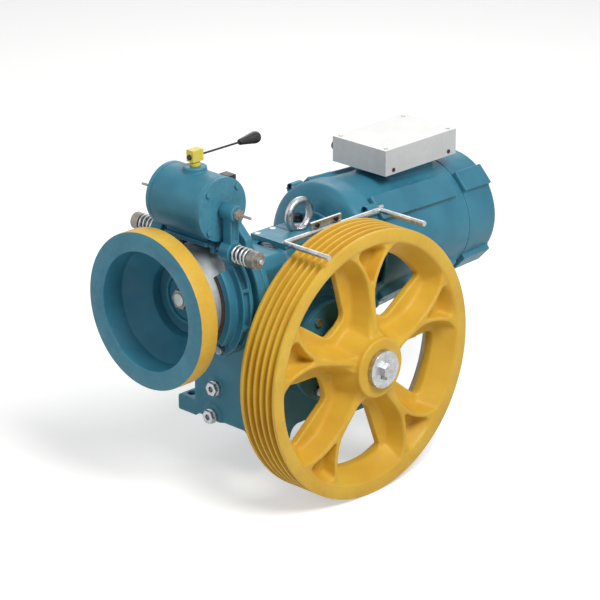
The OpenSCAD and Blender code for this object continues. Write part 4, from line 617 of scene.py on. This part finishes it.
def addSheaveCasting(c, s):
    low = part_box("sheave")[0]
    webBack, webFront = c["web"]
    bm = turned([
        (c["bore"], 0), (c["hubBack"], 0), (c["hubRoot"][0], webBack), (c["rimRoot"], webBack),
        (c["lip"], c["step"]), (c["rim"], c["step"]), (c["rim"], c["width"] - c["step"]),
        (c["lip"], c["width"] - c["step"]),
        (c["rimRoot"], webFront), (c["hubRoot"][1], webFront), (c["hub"], c["hubStep"]),
        (c["hub"], c["hubTip"]), (c["bore"], c["hubTip"])], 144)
    bmesh.ops.rotate(bm, verts=bm.verts, cent=(0, 0, 0), matrix=Matrix.Rotation(radians(90), 3, "Y"))
    rampEnd, rampLength, rampHigh = s["ramp"]
    near, far = s["edge"][0][0], s["edge"][-1][0]
    edge = [(near, 0)] + s["edge"] + [(far, 0)]
    root = [(near, 0)] + spread(s["edge"], s["flank"]) + [(far, 0)]
    opening = windowHalf(c)
    behind, before = c["windowPast"]
    spacing = 2 * pi / s["count"]
    cutter = bmesh.new()
    for i in range(s["count"]):
        rib, pocket, window = bmesh.new(), bmesh.new(), bmesh.new()
        loft(rib, mirrored(root, lambda along: webFront - s["sunk"]),
             mirrored(edge, lambda along: s["top"] + rampHigh * max(0, (rampEnd - along) / rampLength) ** 2))
        loft(pocket, mirrored(s["pocketFloor"], lambda along: s["floor"]),
             mirrored(s["pocketTop"], lambda along: s["top"] + s["past"]))
        loft(window, mirrored(opening, lambda along: webBack - behind),
             mirrored(opening, lambda along: c["width"] + before))
        turns = ((rib, bm, i), (pocket, cutter, i), (window, cutter, i + 0.5))
        for part, target, place in turns:
            bmesh.ops.rotate(part, verts=part.verts, cent=(0, 0, 0),
                             matrix=Matrix.Rotation(place * spacing, 3, "X"))
            bmesh.ops.recalc_face_normals(part, faces=part.faces)
            mesh = bpy.data.meshes.new("part")
            part.to_mesh(mesh)
            part.free()
            target.from_mesh(mesh)
            bpy.data.meshes.remove(mesh)
    for part in (bm, cutter):
        bmesh.ops.translate(part, verts=part.verts, vec=(low.x, shaftAxis.y, shaftAxis.z))
    bm = rounded("sheave", bm, c["voxel"], c["passes"], cutter)
    print("sheave casting", len(bm.faces) * 2, "triangles")
    newPiece("sheave_casting", bm, "sheave", sharp=75)


addSheaveCasting(casting, spoke)
addSheave(sheave)
print("sheave")

# wire radius in mm, turns in all, closed turns at each end and their pitch in wire radii
springs = {"wire": 2.75, "turns": 4.2, "dead": 0.8, "closed": 1.9, "steps": 28, "sides": 14}


def addSpring(node, s):
    low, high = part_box(node)
    centre = (low + high) / 2
    length = (high.x - low.x) / mm - 2 * s["wire"]
    radius = (high.z - low.z) / 2 / mm - s["wire"]
    closedPitch = s["closed"] * s["wire"]
    openTurns = s["turns"] - 2 * s["dead"]
    rise = length - 2 * s["dead"] * s["closed"] * s["wire"]
    stages = [(s["dead"], closedPitch), (openTurns, rise / openTurns), (s["dead"], closedPitch)]
    bm = bmesh.new()
    ring = bmesh.ops.create_circle(bm, segments=s["sides"], radius=s["wire"] * mm)["verts"]
    bmesh.ops.rotate(bm, verts=ring, cent=(0, 0, 0), matrix=Matrix.Rotation(radians(90), 3, "X"))
    bmesh.ops.translate(bm, verts=ring, vec=(radius * mm, 0, 0))
    geom = ring + list(bm.edges)
    for turns, pitch in stages:
        steps = round(turns * s["steps"])
        geom = bmesh.ops.spin(bm, geom=geom, cent=(0, 0, 0), axis=(0, 0, 1), angle=2 * pi * turns,
                              dvec=(0, 0, pitch * turns / steps * mm), steps=steps,
                              use_duplicate=False)["geom_last"]
    bmesh.ops.holes_fill(bm, edges=bm.edges, sides=0)
    bmesh.ops.translate(bm, verts=bm.verts, vec=(0, 0, -length / 2 * mm))
    bmesh.ops.rotate(bm, verts=bm.verts, cent=(0, 0, 0), matrix=Matrix.Rotation(radians(90), 3, "Y"))
    bmesh.ops.translate(bm, verts=bm.verts, vec=centre)
    newPiece(node + "_coil", bm, node, sharp=50)


for node in ("right_spring", "left_spring"):
    addSpring(node, springs)
print("springs")

# the pear's outline, as radius and length from its foot in mm
knob = [(0, 0), (5, 0), (6, 1.5), (6.6, 8), (8.6, 22), (11.2, 36), (12, 42), (10.6, 48), (6.5, 51.4), (0, 52)]


def addKnob(profile):
    bm = bmesh.new()
    verts = [bm.verts.new((radius * mm, 0, along * mm)) for radius, along in profile]
    edges = [bm.edges.new(pair) for pair in zip(verts, verts[1:])]
    bmesh.ops.spin(bm, geom=verts + edges, cent=(0, 0, 0), axis=(0, 0, 1), angle=2 * pi, steps=24,
                   use_merge=True, use_duplicate=False)
    bmesh.ops.remove_doubles(bm, verts=bm.verts, dist=0.01 * mm)
    bmesh.ops.rotate(bm, verts=bm.verts, cent=(0, 0, 0), matrix=Matrix.Rotation(radians(-90), 3, "X"))
    low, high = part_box("release_knob")
    bmesh.ops.translate(bm, verts=bm.verts, vec=((low.x + high.x) / 2, low.y, (low.z + high.z) / 2))
    piece = newPiece("release_knob_pear", bm, "release_knob", sharp=80)
    piece.modifiers.new("smooth", "SUBSURF").levels = 2
    piece.modifiers["smooth"].render_levels = 2


addKnob(knob)

# mm, and degrees for the tilt
lockTab = {
    "wide": 15, "tall": 7, "thick": 2.4, "down": 15, "aside": 4, "round": 0.8, "rim": 1.2, "sunk": 0.9,
    "tilt": -24,
}


def addLockTab(s):                       # a bent sheet tab that keeps the cap's bolt from turning
    bm = bmesh.new()
    bmesh.ops.create_cube(bm, size=1)
    bmesh.ops.scale(bm, verts=bm.verts, vec=(s["thick"] * mm, s["wide"] * mm, s["tall"] * mm))
    bmesh.ops.bevel(bm, geom=bm.edges, offset=s["round"] * mm, offset_type="OFFSET", affect="EDGES",
                    segments=2, profile=0.5, material=-1)
    lip = [f for f in bm.faces if f.normal.x > 0.9]
    bmesh.ops.inset_region(bm, faces=lip, thickness=s["rim"] * mm, depth=-s["sunk"] * mm)
    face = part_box("end_cap")[1].x
    bmesh.ops.rotate(bm, verts=bm.verts, cent=(0, 0, 0), matrix=Matrix.Rotation(radians(s["tilt"]), 3, "X"))
    bmesh.ops.translate(bm, verts=bm.verts, vec=(face + s["thick"] / 2 * mm, shaftAxis.y - s["aside"] * mm,
                                                 shaftAxis.z - s["down"] * mm))
    mesh = bpy.data.meshes.new("lock_tab")
    bmesh.ops.recalc_face_normals(bm, faces=bm.faces)
    bm.to_mesh(mesh)
    bm.free()
    tab = bpy.data.objects.new("lock_tab", mesh)
    bpy.context.scene.collection.objects.link(tab)
    mesh.materials.append(finishes["dull_steel"])
    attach(tab, bodyOf["end_cap"])


addLockTab(lockTab)
print("knob and lock tab")

# the folded edges' rounding, and the band below the top whose upward faces take the lighter copy of the white
# as painted light
terminalBox = {"edge": 1.4, "band": 1.6}


def addTerminalBox(s):
    bm = beveled("terminal_cover", s["edge"])
    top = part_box("terminal_cover")[1].z
    # painted light: upward faces near the top get the lighter copy of the white, the rest keep the greyer copy
    # as painted shade
    for face in bm.faces:
        spot = face.calc_center_median()
        if spot.z > top - s["band"] * mm and face.normal.z > 0.3:
            face.material_index = 1
    piece = newPiece("terminal_cover_sheet", bm, "terminal_cover", sharp=50, extra=["lit_top_white"])
    piece.modifiers.new("normals", "WEIGHTED_NORMAL").keep_sharp = True


addTerminalBox(terminalBox)
print("terminal box")
